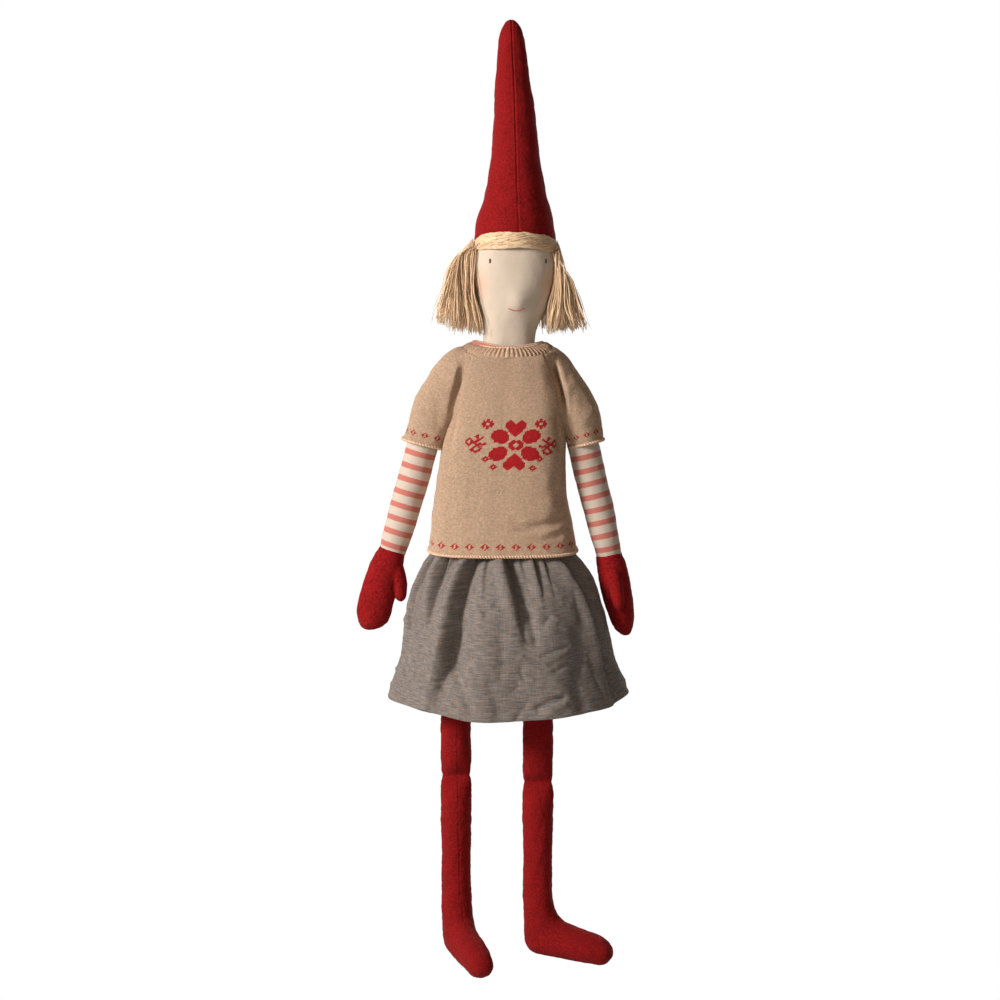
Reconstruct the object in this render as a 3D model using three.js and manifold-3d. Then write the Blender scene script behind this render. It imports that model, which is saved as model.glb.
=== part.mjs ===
// A long-legged stuffed tomte doll: a striped cloth body with a muslin head, a tall pointed
// hat, yarn hair, a knitted short-sleeved sweater, a gathered skirt, mittens and sewn-on stockings.
// Millimetres, +Z up, the doll faces -Y, its right hand is at -X. The origin is the middle of
// the flat seat under the body, between the legs.
import * as THREE from "three";
import { mergeVertices } from "three/addons/utils/BufferGeometryUtils.js";
import Module from "manifold-3d";

const wasm = await Module();
wasm.setup();

// ---- driving dimensions -------------------------------------------------------------------
const CLOTH = 1.6; // thickness of a sewn skin
const KNIT = 2.4; // thickness of the sweater
const FELT = 2; // thickness of the hat
const PLAY = 0.4; // room between pieces that touch in the real doll
const SEGMENTS = 14; // corners of a round section

const HIP_Z = 20; // axis of the seam that the legs fold on
const LEG_X = 47; // leg's middle, each side of the seat
const LEG_R = 17;
const TAPE_R = 2.6;
const KNEE = { right: -180, left: -188 }; // the right leg is sewn in a little higher
const SHIN = 190; // knee crease to heel's middle
const CREASE = 4; // half the unstuffed band at a fold
const FOOT_TURN = { right: 24, left: 70 }; // degrees towards the doll's left
const ANKLE_Y = { right: 11, left: 6 }; // the calf slants back, so that the leg hangs plumb
const FOOT_DROP = 2; // degrees that a limp foot points down

const SHOULDER_Z = 252;
const ARM_R = 17.5;

const NECK_X = 13;
const NECK_Z = 314; // pivot of the nod
const COLLAR_R = 29.2; // hole in the body that takes the neck
const HEAD_X = 20;

const WAIST_Z = 84; // where the skirt is gathered on its band
const HEM_Z = -92;

// Outlines: each row is [x, y, z, half width, half depth].
const BODY = [
  [0, 0, HIP_Z + 4, 56, 3],
  [1, 0, 36, 60, 12],
  [2, 0, 52, 63, 24],
  [3, 0, 76, 64, 37],
  [4, 0, 110, 65, 42],
  [4, 0, 160, 62, 42],
  [7, 0, 215, 53, 39],
  [8, 0, 255, 47, 35],
  [9, 0, 282, 42, 33],
  [11, 0, 296, 38, 32],
];
const SEAT_PAD = [
  [0, 0, 0, 20, 22],
  [0, 0, 6, 23, 25],
  [0, 0, 45, 23, 22],
];
const SWEATER = [
  [5, 0, 78, 83, 55],
  [5, 0, 100, 79, 53],
  [4, 0, 134, 74, 51],
  [6, 0, 170, 70, 49],
  [8, 0, 200, 64, 47],
  [8, 0, 235, 56.5, 43],
  [8.5, 0, 262, 53, 40],
  [9, 0, 283, 47, 38],
  [11, 0, 297, 42, 36],
];
const SKIRT = [
  [4, 0, WAIST_Z, 76, 49],
  [5, 0, 76, 79, 51],
  [6, 0, 62, 92, 64],
  [8, 0, 40, 105, 77],
  [10, 0, 8, 114, 86],
  [11, 0, -40, 117, 91],
  [12, 0, -70, 126, 95],
  [12, 0, HEM_Z, 135, 98],
];
const HEAD = [
  [NECK_X, 0, NECK_Z - 25, 9, 8],
  [NECK_X, 0, NECK_Z - 22, 17, 16],
  [NECK_X, 0, NECK_Z - 14, 24, 23],
  [NECK_X, 0, NECK_Z - 2, 28, 27],
  [15, 0, 326, 30, 29],
  [18, 0, 345, 36, 34],
  [19, 0, 364, 42, 38],
  [HEAD_X, 0, 384, 45, 40],
  [HEAD_X + 1, 0, 410, 42, 39],
  [HEAD_X + 1, 0, 428, 33, 31],
  [HEAD_X + 1, 0, 437, 16, 15],
];
const HAT = [
  [HEAD_X + 1, 0, 418, 46, 44],
  [HEAD_X + 1, 0, 440, 43, 41],
  [HEAD_X + 1, 0, 466, 35, 34],
  [20.5, 0, 492, 29.7, 29],
  [20, 0, 531, 24.7, 24],
  [18.5, 0, 582, 20.3, 20],
  [17, 0, 634, 14.8, 14.5],
  [16, 0, 650, 9.5, 9.5],
  [15.5, 0, 659, 2.5, 2.5],
];
const HAIR = [
  [16, 4, 416, 48, 44],
  [12, 4, 402, 60, 46],
  [13, 4, 380, 70, 48],
  [14, 4, 350, 81, 50],
  [16, 4, 327, 85, 50],
];
const HAIR_HOLLOW = [
  [18, 0, 420, 40, 36],
  [16, 0, 384, 47, 41],
  [15, 0, 350, 50, 39],
  [15, 0, 322, 53, 39],
];
// The fringe lies along the hat's edge, from one temple over the brow to the other.
const FRINGE = { z: 415, arch: 5, half: 5.5, from: 196, to: 344, reach: 47, depth: 43 };

// Arm outlines below the pivot, for each side: the spine, and the round section's radius.
const ARM = {
  right: [
    [-65, -4, SHOULDER_Z, ARM_R - 1],
    [-79, -4, 208, ARM_R],
    [-92, -4, 162, ARM_R],
    [-104.5, -5, 119, ARM_R - 0.8],
    [-115, -6, 82, ARM_R - 2],
  ],
  left: [
    [82, -4, SHOULDER_Z, ARM_R - 1],
    [93, -4, 208, ARM_R],
    [104, -4, 162, ARM_R],
    [115, -5, 119, ARM_R - 0.8],
    [123, -6, 79, ARM_R - 2],
  ],
};
// Mittens from the wrist down: the right one shows its palm, the left one is turned edge-on.
const MITTEN = {
  right: [
    [-131, -7, 42, 20, 15],
    [-138, -8, 18, 20.5, 15],
    [-141, -8, 0, 16.5, 12],
    [-141, -8, -11, 6, 5],
  ],
  left: [
    [134, -7, 42, 16, 20],
    [140, -8, 14, 15, 20.5],
    [145, -8, -5, 12, 16.5],
    [147, -8, -17, 5, 6],
  ],
};
const THUMB = {
  right: [
    [-124, -8, 60, 6.5],
    [-114, -10, 42, 7.5],
    [-110.5, -11, 27, 7.5],
    [-110, -11, 19, 4],
  ],
  left: [
    [130, -14, 58, 6.5],
    [134, -26, 40, 7.5],
    [137, -30, 25, 7.5],
    [138, -31, 17, 4],
  ],
};
const TAB = { radius: 8, length: 4.6 }; // the seam that an arm hangs from
const SLEEVE = { cap: 22, full: 23.5, cuff: 22.5, length: 62 };

// ---- shapes -------------------------------------------------------------------------------
const X_AXIS = new THREE.Vector3(1, 0, 0);

// A geometry as a closed solid that can be cut and joined.
function solidOf(geometry) {
  const bare = geometry.index ? geometry.toNonIndexed() : geometry.clone();
  bare.deleteAttribute("normal");
  bare.deleteAttribute("uv");
  const merged = mergeVertices(bare, 1e-4);
  return new wasm.Manifold(
    new wasm.Mesh({
      numProp: 3,
      vertProperties: merged.attributes.position.array,
      triVerts: new Uint32Array(merged.index.array),
    }),
  );
}

function geometryOf(solid) {
  const mesh = solid.getMesh();
  const indexed = new THREE.BufferGeometry();
  indexed.setAttribute("position", new THREE.BufferAttribute(mesh.vertProperties, 3));
  indexed.setIndex(new THREE.BufferAttribute(mesh.triVerts, 1));
  const faceted = indexed.toNonIndexed();
  faceted.computeVertexNormals();
  return faceted;
}

// Moves an outline's first and last rows along its spine: positive shortens it there.
function trimmed(rows, start, end) {
  const out = rows.map((row) => [...row]);
  const slide = (row, towards, by) => {
    const step = new THREE.Vector3(...towards).sub(new THREE.Vector3(...row)).setLength(by);
    row[0] += step.x;
    row[1] += step.y;
    row[2] += step.z;
  };
  if (start) slide(out[0], out[1], start);
  if (end) slide(out.at(-1), out.at(-2), end);
  return out;
}

// A round form lofted through an outline's rows. Its sections stand square to the spine, or lie
// level when level is true. grow widens every section.
function lofted(rows, { grow = 0, level = false, steps = 1, segments = SEGMENTS, across = X_AXIS } = {}) {
  const width = (row) => Math.max(row[3] + grow, 0.6);
  const depth = (row) => Math.max((row[4] ?? row[3]) + grow, 0.6);
  const spine = new THREE.CatmullRomCurve3(
    rows.map((row) => new THREE.Vector3(row[0], row[1], row[2])),
    false,
    "catmullrom",
    0.5,
  );
  const size = new THREE.CatmullRomCurve3(
    rows.map((row) => new THREE.Vector3(width(row), depth(row), 0)),
    false,
    "catmullrom",
    0.5,
  );
  const rings = (rows.length - 1) * steps;
  const form = new THREE.CylinderGeometry(1, 1, 1, segments, rings);
  const place = form.attributes.position;
  const at = new THREE.Vector3();
  for (let i = 0; i < place.count; i++) {
    at.fromBufferAttribute(place, i);
    const t = Math.round((0.5 - at.y) * rings) / rings;
    const centre = spine.getPoint(t);
    const half = size.getPoint(t);
    const along = spine.getTangent(t);
    if (level) along.set(0, 0, Math.sign(along.z) || 1);
    const side = across.clone().addScaledVector(along, -across.dot(along)).normalize();
    const out = along.clone().cross(side);
    centre.addScaledVector(side, at.x * half.x).addScaledVector(out, at.z * half.y);
    place.setXYZ(i, centre.x, centre.y, centre.z);
  }
  return solidOf(form);
}

function box(low, high) {
  const size = high.map((value, k) => value - low[k]);
  const form = new THREE.BoxGeometry(...size);
  form.translate(...low.map((value, k) => value + size[k] / 2));
  return solidOf(form);
}

function ball(centre, radii, segments = 12) {
  const form = new THREE.SphereGeometry(1, segments, Math.ceil(segments / 2));
  form.scale(...radii);
  form.translate(...centre);
  return solidOf(form);
}

function cylinder(centre, radius, length, axis = "z", segments = 20) {
  const form = new THREE.CylinderGeometry(radius, radius, length, segments);
  if (axis === "z") form.rotateX(Math.PI / 2);
  if (axis === "x") form.rotateZ(Math.PI / 2);
  form.translate(...centre);
  return solidOf(form);
}

// The sewn skin of a stuffed form and the wad of stuffing inside it. make(grow, trim) gives the
// form with its sections widened by grow and its closed ends drawn in by trim; mouth is the cut
// that opens the skin.
function stuffedPair(make, mouth, cloth = CLOTH) {
  const skin = make(0, 0).subtract(make(-cloth, cloth)).subtract(mouth);
  const wad = make(-cloth - PLAY, cloth + PLAY);
  return [skin, wad];
}

// ---- materials ----------------------------------------------------------------------------
const cloth = (color, roughness = 0.9) =>
  new THREE.MeshStandardMaterial({ color, roughness, metalness: 0 });
const MATERIALS = {
  muslin: cloth(0xd9c2a6),
  striped_jersey: cloth(0xd3b7a2),
  red_wool: cloth(0x8e1b1e),
  knit: cloth(0xc09a76),
  linen: cloth(0x6e6660),
  yarn: cloth(0xc2a27a),
  stuffing: cloth(0xefece4, 1),
  tape: cloth(0xe4dccb),
  elastic: cloth(0xf2f0ea),
  eye_thread: cloth(0x2c3440),
  mouth_thread: cloth(0xa6423c),
};

const doll = new THREE.Group();
function add(name, solid, material, group = doll) {
  const mesh = new THREE.Mesh(geometryOf(solid), MATERIALS[material]);
  mesh.name = name;
  group.add(mesh);
}

// ---- body ---------------------------------------------------------------------------------
function buildBody() {
  const form = (grow, trim) =>
    lofted(trimmed(BODY, trim, trim), { grow, level: true }).add(
      lofted(trimmed(SEAT_PAD, trim, 0), { grow, level: true }),
    );
  const collar = cylinder([NECK_X, 0, 300], COLLAR_R, 24);
  const socket = ball([NECK_X, 0, NECK_Z], [COLLAR_R, COLLAR_R, COLLAR_R], 20);
  const plugHole = cylinder([NECK_X, 0, 272], 20.6, 50);
  const tapeRun = cylinder([0, 0, HIP_Z], TAPE_R + PLAY, 80, "x", 10);
  const [skin, wad] = stuffedPair(form, collar);
  add("torso_cover", skin.subtract(socket).subtract(plugHole).subtract(tapeRun), "striped_jersey");
  const body = wad.subtract(collar).subtract(socket).subtract(plugHole).subtract(tapeRun);
  add("torso_stuffing", body, "stuffing");
  const plug = cylinder([NECK_X, 0, 267], 20, 34).subtract(
    ball([NECK_X, 0, NECK_Z], [COLLAR_R - 1.4, COLLAR_R - 1.4, COLLAR_R - 1.4], 20),
  );
  add("neck_plug", plug, "stuffing");
}

// ---- head, hat and hair -------------------------------------------------------------------
function buildHead() {
  const nose = (grow) => ball([18, -36, 360], [6 + grow, 7 + grow, 12 + grow]);
  const form = (grow, trim) =>
    lofted(trimmed(HEAD, trim, trim), { grow, level: true }).add(nose(grow));
  const mouthOfSkin = cylinder([NECK_X, 0, NECK_Z - 25], 6, 12);
  const [skin, wad] = stuffedPair(form, mouthOfSkin);
  add("head_cover", skin, "muslin");
  add("head_stuffing", wad, "stuffing");

  const hatForm = (grow, trim) => lofted(trimmed(HAT, 0, trim), { grow, level: true });
  const brim = box([-60, -80, 410], [100, 80, 420]);
  const hat = hatForm(0, 0).subtract(hatForm(-FELT, FELT).add(brim));
  const head = lofted(HEAD, { grow: PLAY, level: true });
  const hatWad = hatForm(-FELT - PLAY, FELT + PLAY).subtract(head);
  add("hat", hat, "red_wool");
  add("hat_stuffing", hatWad.subtract(box([-60, -80, 400], [100, 80, 438])), "stuffing");

  const headAndHat = head.add(lofted(HAT, { grow: PLAY, level: true }));
  const hollow = lofted(HAIR_HOLLOW, { level: true }).add(headAndHat);
  const mass = lofted(HAIR, { level: true, segments: 24 }).subtract(hollow);
  const front = -20;
  const behind = 24;
  const sides = mass.subtract(box([-150, -90, 300], [150, front, 440]));
  add("hair_right", sides.intersect(box([-150, -90, 300], [HEAD_X - 20, behind, 440])), "yarn");
  add("hair_left", sides.intersect(box([HEAD_X + 20, -90, 300], [150, behind, 440])), "yarn");
  add("hair_back", sides.intersect(box([-150, behind + PLAY, 300], [150, 90, 440])), "yarn");

  const arc = [];
  const bends = 6;
  for (let i = 0; i <= bends; i++) {
    const turn = THREE.MathUtils.degToRad(FRINGE.from + ((FRINGE.to - FRINGE.from) * i) / bends);
    const rise = FRINGE.arch * Math.sin((Math.PI * i) / bends);
    arc.push([
      HEAD_X + 1 + FRINGE.reach * Math.cos(turn),
      FRINGE.depth * Math.sin(turn),
      FRINGE.z - FRINGE.arch + rise,
      FRINGE.half,
      FRINGE.half - 1,
    ]);
  }
  const up = new THREE.Vector3(0, 0, 1);
  const fringe = lofted(arc, { across: up, segments: 8 })
    .subtract(headAndHat)
    .subtract(box([-150, front - PLAY, 300], [150, 90, 460]));
  add("fringe", fringe, "yarn");

  buildFace();
}

// Stitches lie just clear of the muslin: two upright eyes and a small smile.
function buildFace() {
  const onFace = (x, row, lift) => {
    const share = (x - row.x) / row.half;
    return -row.depth * Math.sqrt(1 - share * share) - lift;
  };
  const brow = { x: HEAD_X, half: 44.5, depth: 40 };
  const lip = { x: 18, half: 36, depth: 34 };
  const stitch = 0.8;
  const eye = (x) => {
    const y = onFace(x, brow, stitch + 1.2);
    return lofted(
      [
        [x, y, 400, stitch],
        [x, y, 394.5, stitch],
      ],
      { segments: 6 },
    );
  };
  add("right_eye", eye(-7), "eye_thread");
  add("left_eye", eye(53), "eye_thread");
  const smile = [-9, -4.5, 0, 4.5, 9].map((dx) => [
    lip.x - 1 + dx,
    onFace(lip.x - 1 + dx, lip, 1.8),
    343 + (dx * dx) / 32,
    0.6,
  ]);
  const up = new THREE.Vector3(0, 0, 1);
  add("mouth", lofted(smile, { across: up, segments: 6 }), "mouth_thread");
}

// ---- sweater and skirt --------------------------------------------------------------------
function buildSweater() {
  const ends = [box([-150, -90, 40], [150, 90, 79]), box([-150, -90, 296], [150, 90, 330])];
  const shell = (grow) => lofted(SWEATER, { grow, level: true });
  const sweater = shell(0).subtract(shell(-KNIT)).subtract(ends[0]).subtract(ends[1]);
  const armhole = cylinder([8, 0, SHOULDER_Z], 15, 160, "x");
    const neckband = (grow, low, high) =>
    lofted(
      [
        [11, 0, low, 41.4 + grow, 35.4 + grow],
        [12, 0, high, 39.5 + grow, 34 + grow],
      ],
      { level: true, segments: 24 },
    );
  const rib = neckband(0, 296.4, 303).subtract(neckband(-KNIT, 290, 310));
  add("sweater_body", sweater.subtract(armhole), "knit");
  add("sweater_neckband", rib, "knit");
}

function buildSkirt() {
  const shell = (grow) => lofted(SKIRT, { grow, level: true, segments: 24 });
  const cut = (low, high) => box([-200, -200, low], [200, 200, high]);
  const bell = shell(0)
    .subtract(shell(-FELT))
    .subtract(cut(WAIST_Z - 0.5, WAIST_Z + 9))
    .subtract(cut(HEM_Z - 9, HEM_Z + 0.5));
  const half = (sign) => {
    const near = sign < 0 ? [-200, -200, -150] : [-200, PLAY / 2, -150];
    const far = sign < 0 ? [200, -PLAY / 2, 150] : [200, 200, 150];
    return bell.intersect(box(near, far));
  };
  add("skirt_front_panel", half(-1), "linen");
  add("skirt_back_panel", half(1), "linen");

  const ring = (grow, low, high) =>
    lofted(
      [
        [4, 0, low, 69.5 + grow, 45 + grow],
        [4, 0, high, 69.5 + grow, 45 + grow],
      ],
      { level: true, segments: 24 },
    );
  const bandLow = WAIST_Z;
  const bandHigh = WAIST_Z + 19;
  const casing = ring(2.4, bandLow, bandHigh)
    .subtract(ring(-2.4, bandLow - 5, bandHigh + 5))
    .subtract(ring(0.6, bandLow + 3, bandHigh - 3));
  add("skirt_waistband", casing, "linen");
  const elastic = ring(0.2, bandLow + 3.4, bandHigh - 3.4).subtract(
    ring(-1.6, bandLow - 5, bandHigh + 5),
  );
  add("waist_elastic", elastic, "elastic");
}

// ---- arms ---------------------------------------------------------------------------------
function buildArm(side) {
  const spine = ARM[side];
  const pivot = new THREE.Vector3(...spine[0].slice(0, 3));
  const down = new THREE.Vector3(...spine[1].slice(0, 3)).sub(pivot).normalize();
  const above = (distance, radius) => {
    const at = pivot.clone().addScaledVector(down, -distance);
    return [at.x, at.y, at.z, radius];
  };
  const top = ARM_R - 1;
  const tube = [above(top, 3), above(top * 0.8, top * 0.6), above(top * 0.4, top * 0.92), ...spine];
  const wrist = spine.at(-1);
  const form = (grow, trim) => lofted(trimmed(tube, trim, trim), { grow });
  const opening = lofted(
    [
      [wrist[0], wrist[1], wrist[2] + 4, wrist[3] - CLOTH],
      [wrist[0], wrist[1], wrist[2] - 8, wrist[3] - CLOTH],
    ],
      );
  const [skin, wad] = stuffedPair(form, opening);
  add(`${side}_arm_cover`, skin, "striped_jersey");
  add(`${side}_arm_stuffing`, wad, "stuffing");

  // The mitten starts at the wrist, in line with the forearm.
  const end = new THREE.Vector3(...wrist.slice(0, 3));
  const forearm = end.clone().sub(new THREE.Vector3(...spine.at(-2).slice(0, 3))).normalize();
  const alongArm = (distance) => end.clone().addScaledVector(forearm, distance).toArray();
  const palm = [[...alongArm(PLAY), 15.5, 15], [...alongArm(18), 17, 16], ...MITTEN[side]];
  const hand = (grow, trim) =>
    lofted(trimmed(palm, trim, trim), { grow, steps: 2 }).add(
      lofted(trimmed(THUMB[side], 0, trim), { grow, segments: 10 }),
    );
  const cuff = palm[0];
  const wristHole = lofted(
    [
      [cuff[0], cuff[1], cuff[2] + 8, cuff[3] - CLOTH],
      [cuff[0], cuff[1], cuff[2] - 4, cuff[3] - CLOTH],
    ],
      );
  const [mitten, mittenWad] = stuffedPair(hand, wristHole);
  add(`${side}_mitten`, mitten, "red_wool");
  add(`${side}_mitten_stuffing`, mittenWad, "stuffing");

  buildSleeve(side, pivot, down);
}

function buildSleeve(side, pivot, down) {
  const outward = side === "right" ? -1 : 1;
  const row = (distance, radius) => {
    const at = pivot.clone().addScaledVector(down, distance);
    return [at.x, at.y, at.z, radius];
  };
  const outer = (grow, past) =>
    lofted(
      [
        row(-SLEEVE.cap - grow, 6),
        row(-SLEEVE.cap * 0.75, SLEEVE.cap * 0.66 + grow),
        row(-SLEEVE.cap * 0.35, SLEEVE.cap * 0.93 + grow),
        row(0, SLEEVE.cap + grow),
        row(SLEEVE.length * 0.5, SLEEVE.full + grow),
        row(SLEEVE.length + past, SLEEVE.cuff + grow),
      ],
          );
  const armholeX = pivot.x - outward * 17;
  const bodySide = side === "right" ? [[armholeX, 200], [90, 320]] : [[-90, 200], [armholeX, 320]];
  const inside = box([bodySide[0][0], -60, bodySide[0][1]], [bodySide[1][0], 60, bodySide[1][1]]);
  const sleeve = outer(0, 0).subtract(outer(-KNIT, 4)).subtract(inside);
  add(`${side}_sleeve`, sleeve, "knit");
  const tabMiddle = pivot.x - outward * (ARM_R + PLAY + TAB.length / 2);
  const tab = cylinder([tabMiddle, pivot.y, SHOULDER_Z], TAB.radius, TAB.length, "x", 12);
  add(`${side}_shoulder_tab`, tab, "tape");
}

// ---- legs ---------------------------------------------------------------------------------
function buildLeg(side) {
  const x = side === "right" ? -LEG_X : LEG_X;
  const knee = KNEE[side];
  const flat = LEG_R - 2;
  const thigh = [
    [x, 0, HIP_Z - CREASE, flat, 3],
    [x, 0, HIP_Z - 3 * CREASE, LEG_R, 9],
    [x, 0, HIP_Z - 6 * CREASE, LEG_R, 16],
    [x, 0, -50, LEG_R, LEG_R],
    [x, 0, knee + 60, LEG_R, LEG_R],
    [x, 0, knee + 6.5 * CREASE, LEG_R, 16],
    [x, 0, knee + 3 * CREASE, flat + 1, 8],
    [x, 0, knee + CREASE, flat, 2.6],
  ];
  const thighForm = (grow, trim) =>
    lofted(trimmed(thigh, trim, trim), { grow, level: true });
  const seam = (z) => box([x - 6, -1.4, z - 4], [x + 6, 1.4, z + 4]);
  const [thighSkin, thighWad] = stuffedPair(thighForm, seam(HIP_Z - CREASE));
  add(`${side}_thigh_cover`, thighSkin, "red_wool");
  add(`${side}_thigh_stuffing`, thighWad, "stuffing");

  const heel = knee - SHIN;
  const ankleY = ANKLE_Y[side];
  const shin = [
    [x, 0, knee - CREASE, flat, 2.6],
    [x, 0, knee - 3 * CREASE, flat + 1, 8],
    [x, 0, knee - 6.5 * CREASE, LEG_R, 16],
    [x, ankleY / 2, knee - 75, LEG_R, LEG_R],
    [x, ankleY, heel + 30, LEG_R - 0.5, LEG_R - 0.5],
    [x, ankleY, heel + 6, LEG_R, LEG_R],
    [x, ankleY, heel - 8, 12, 12],
  ];
  const turn = THREE.MathUtils.degToRad(FOOT_TURN[side]);
  const ahead = new THREE.Vector3(Math.sin(turn), -Math.cos(turn), 0);
  const fall = Math.tan(THREE.MathUtils.degToRad(FOOT_DROP));
  const step = (reach, halfWidth, halfHeight, lift = 0) => [
    x + ahead.x * reach,
    ankleY + ahead.y * reach,
    heel - reach * fall + lift,
    halfWidth,
    halfHeight,
  ];
  const foot = [
    step(-17, 6, 6, -4),
    step(-11, 14, 15, -2),
    step(4, 18, 20, -1),
    step(32, 19, 19, -1),
    step(60, 18.5, 17),
    step(77, 14.5, 14),
    step(85, 5, 5),
  ];
  const sideways = ahead.clone().cross(new THREE.Vector3(0, 0, 1));
  const shinForm = (grow, trim) =>
    lofted(trimmed(shin, trim, 0), { grow, level: true }).add(
      lofted(trimmed(foot, trim, trim), { grow, across: sideways }),
    );
  const [shinSkin, shinWad] = stuffedPair(shinForm, seam(knee - CREASE));
  add(`${side}_stocking_cover`, shinSkin, "red_wool");
  add(`${side}_shin_stuffing`, shinWad, "stuffing");

}

// One tape runs through the body's lowest seam, and both thighs are sewn to it.
function buildHipTape() {
  add("hip_tape", cylinder([0, 0, HIP_Z], TAPE_R, 2 * (LEG_X + LEG_R - 2), "x", 10), "tape");
}

buildBody();
buildHead();
buildSweater();
buildSkirt();
buildHipTape();
for (const side of ["right", "left"]) {
  buildArm(side);
  buildLeg(side);
}

export default doll;
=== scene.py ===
# A long-legged stuffed tomte doll, sewn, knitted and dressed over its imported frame.
# Outlines are in millimetres: the doll faces -Y, its right hand is at -X, and zero is its seat.
import math

import bpy
import numpy as np
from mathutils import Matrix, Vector


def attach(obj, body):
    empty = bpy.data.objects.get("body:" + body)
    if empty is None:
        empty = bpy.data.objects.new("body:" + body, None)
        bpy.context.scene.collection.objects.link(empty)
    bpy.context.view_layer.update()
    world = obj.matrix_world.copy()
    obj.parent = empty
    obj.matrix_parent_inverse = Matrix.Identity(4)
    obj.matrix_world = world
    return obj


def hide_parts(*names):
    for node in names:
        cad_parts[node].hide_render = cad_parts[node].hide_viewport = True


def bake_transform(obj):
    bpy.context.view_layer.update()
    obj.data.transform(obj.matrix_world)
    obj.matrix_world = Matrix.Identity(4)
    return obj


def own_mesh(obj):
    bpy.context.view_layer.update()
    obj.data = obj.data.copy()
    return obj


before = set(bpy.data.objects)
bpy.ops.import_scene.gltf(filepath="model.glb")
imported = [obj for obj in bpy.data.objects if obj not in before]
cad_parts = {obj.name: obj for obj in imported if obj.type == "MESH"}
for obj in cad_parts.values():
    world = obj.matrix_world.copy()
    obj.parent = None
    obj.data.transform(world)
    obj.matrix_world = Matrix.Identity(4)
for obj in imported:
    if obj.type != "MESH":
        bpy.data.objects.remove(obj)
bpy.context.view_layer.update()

bl_info = {
    "name": "Tomte doll",
    "version": (1, 0, 0),
    "blender": (4, 5, 0),
    "location": "3D View > Sidebar > Tomte",
    "description": "Sews, knits and dresses a long-legged tomte doll over its packed frame",
    "category": "Object",
}

MM = 0.001
SIDES = ("right", "left")
FACING = {"right": -1, "left": 1}


def by_side(side, right, left):
    return right if side == "right" else left


def ease(share):
    """Softens the two ends of a share that runs from 0 to 1."""
    return share * share * (3 - 2 * share)


def ramp(value, start, end):
    """How far the values have come from start to end, kept between 0 and 1."""
    return np.clip((value - start) / (end - start), 0, 1)


def hill(off):
    """A soft rise round zero."""
    return np.exp(-(off**2))


# ---- sizes and colours that a maker would change ------------------------------------------
def length(name, description, default):
    return bpy.props.FloatProperty(
        name=name, description=description, default=default * MM, unit="LENGTH", precision=5
    )


def colour(name, description, default):
    return bpy.props.FloatVectorProperty(
        name=name, description=description, default=default, subtype="COLOR", min=0, max=1
    )


class TomteSizes(bpy.types.PropertyGroup):
    stripe: length("Stripe repeat", "One red and one cream stripe of the jersey", 14.8)
    thread: length("Thread", "Spacing of the threads in the red wool", 0.95)
    strand: length("Hair strand", "Radius of one strand of flax hair", 0.62)
    strands: bpy.props.IntProperty(
        name="Strands", description="Strands in each bunch of hair", default=330, min=20
    )
    pleats: bpy.props.IntProperty(
        name="Pleats", description="Deep gathers round the skirt", default=19, min=6
    )


class TomteColours(bpy.types.PropertyGroup):
    # The wool's dark and light mix mostly by random grain and thread tone, and partly as painted
    # shade: raised threads lighter, the dips between them darker.
    wool_dark: colour("Wool, dark", "Shadowed threads of the red wool", (0.085, 0.0028, 0.0036))
    wool_light: colour("Wool, light", "Raised threads of the red wool", (0.375, 0.0110, 0.0112))
    muslin: colour("Muslin", "Cream cotton of the head", (0.625, 0.500, 0.385))
    blush: colour("Blush", "Chalk rubbed on the cheeks", (0.680, 0.370, 0.230))
    cream: colour("Jersey, cream", "Ground of the striped jersey", (0.640, 0.520, 0.415))
    stripe: colour("Jersey, stripe", "Stripes of the jersey", (0.470, 0.115, 0.080))
    knit: colour("Knitting", "Tan yarn of the sweater", (1.000, 0.650, 0.425))
    pattern: colour("Pattern", "Red yarn of the sweater's pattern", (0.700, 0.020, 0.026))
    linen_dark: colour("Linen, dark", "Dark slubs of the skirt", (0.072, 0.066, 0.068))
    linen_light: colour("Linen, light", "Pale slubs of the skirt", (0.350, 0.293, 0.245))
    flax: colour("Flax", "Blond hair", (0.860, 0.600, 0.370))
    eye: colour("Eye thread", "Embroidery thread of the eyes", (0.016, 0.024, 0.045))
    mouth: colour("Mouth thread", "Embroidery thread of the mouth", (0.420, 0.075, 0.055))


def sizes():
    return bpy.context.scene.tomte_sizes


def colours():
    return bpy.context.scene.tomte_colours


# ---- outlines: each row is x, y, z, half width, half depth ---------------------------------
HEAD = [
    (13, 0, 289, 0, 0),
    (13, 0, 290, 15, 14),
    (13, 0, 297, 26, 25),
    (13, 0, 306, 28.5, 27.5),
    (13.5, 0, 314, 29, 28),
    (15, 0, 326, 30, 29.5),
    (17, 0, 338, 33.5, 32),
    (18.5, 0, 352, 38.5, 35),
    (19.5, 0, 366, 42.5, 37.5),
    (20, 0, 384, 45.3, 39.5),
    (20.5, 0, 400, 45, 40),
    (21, 0, 414, 42.5, 39),
    (21, 0, 428, 34, 32),
    (21, 0, 436, 18, 17),
    (21, 0, 438.5, 0, 0),
]
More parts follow.
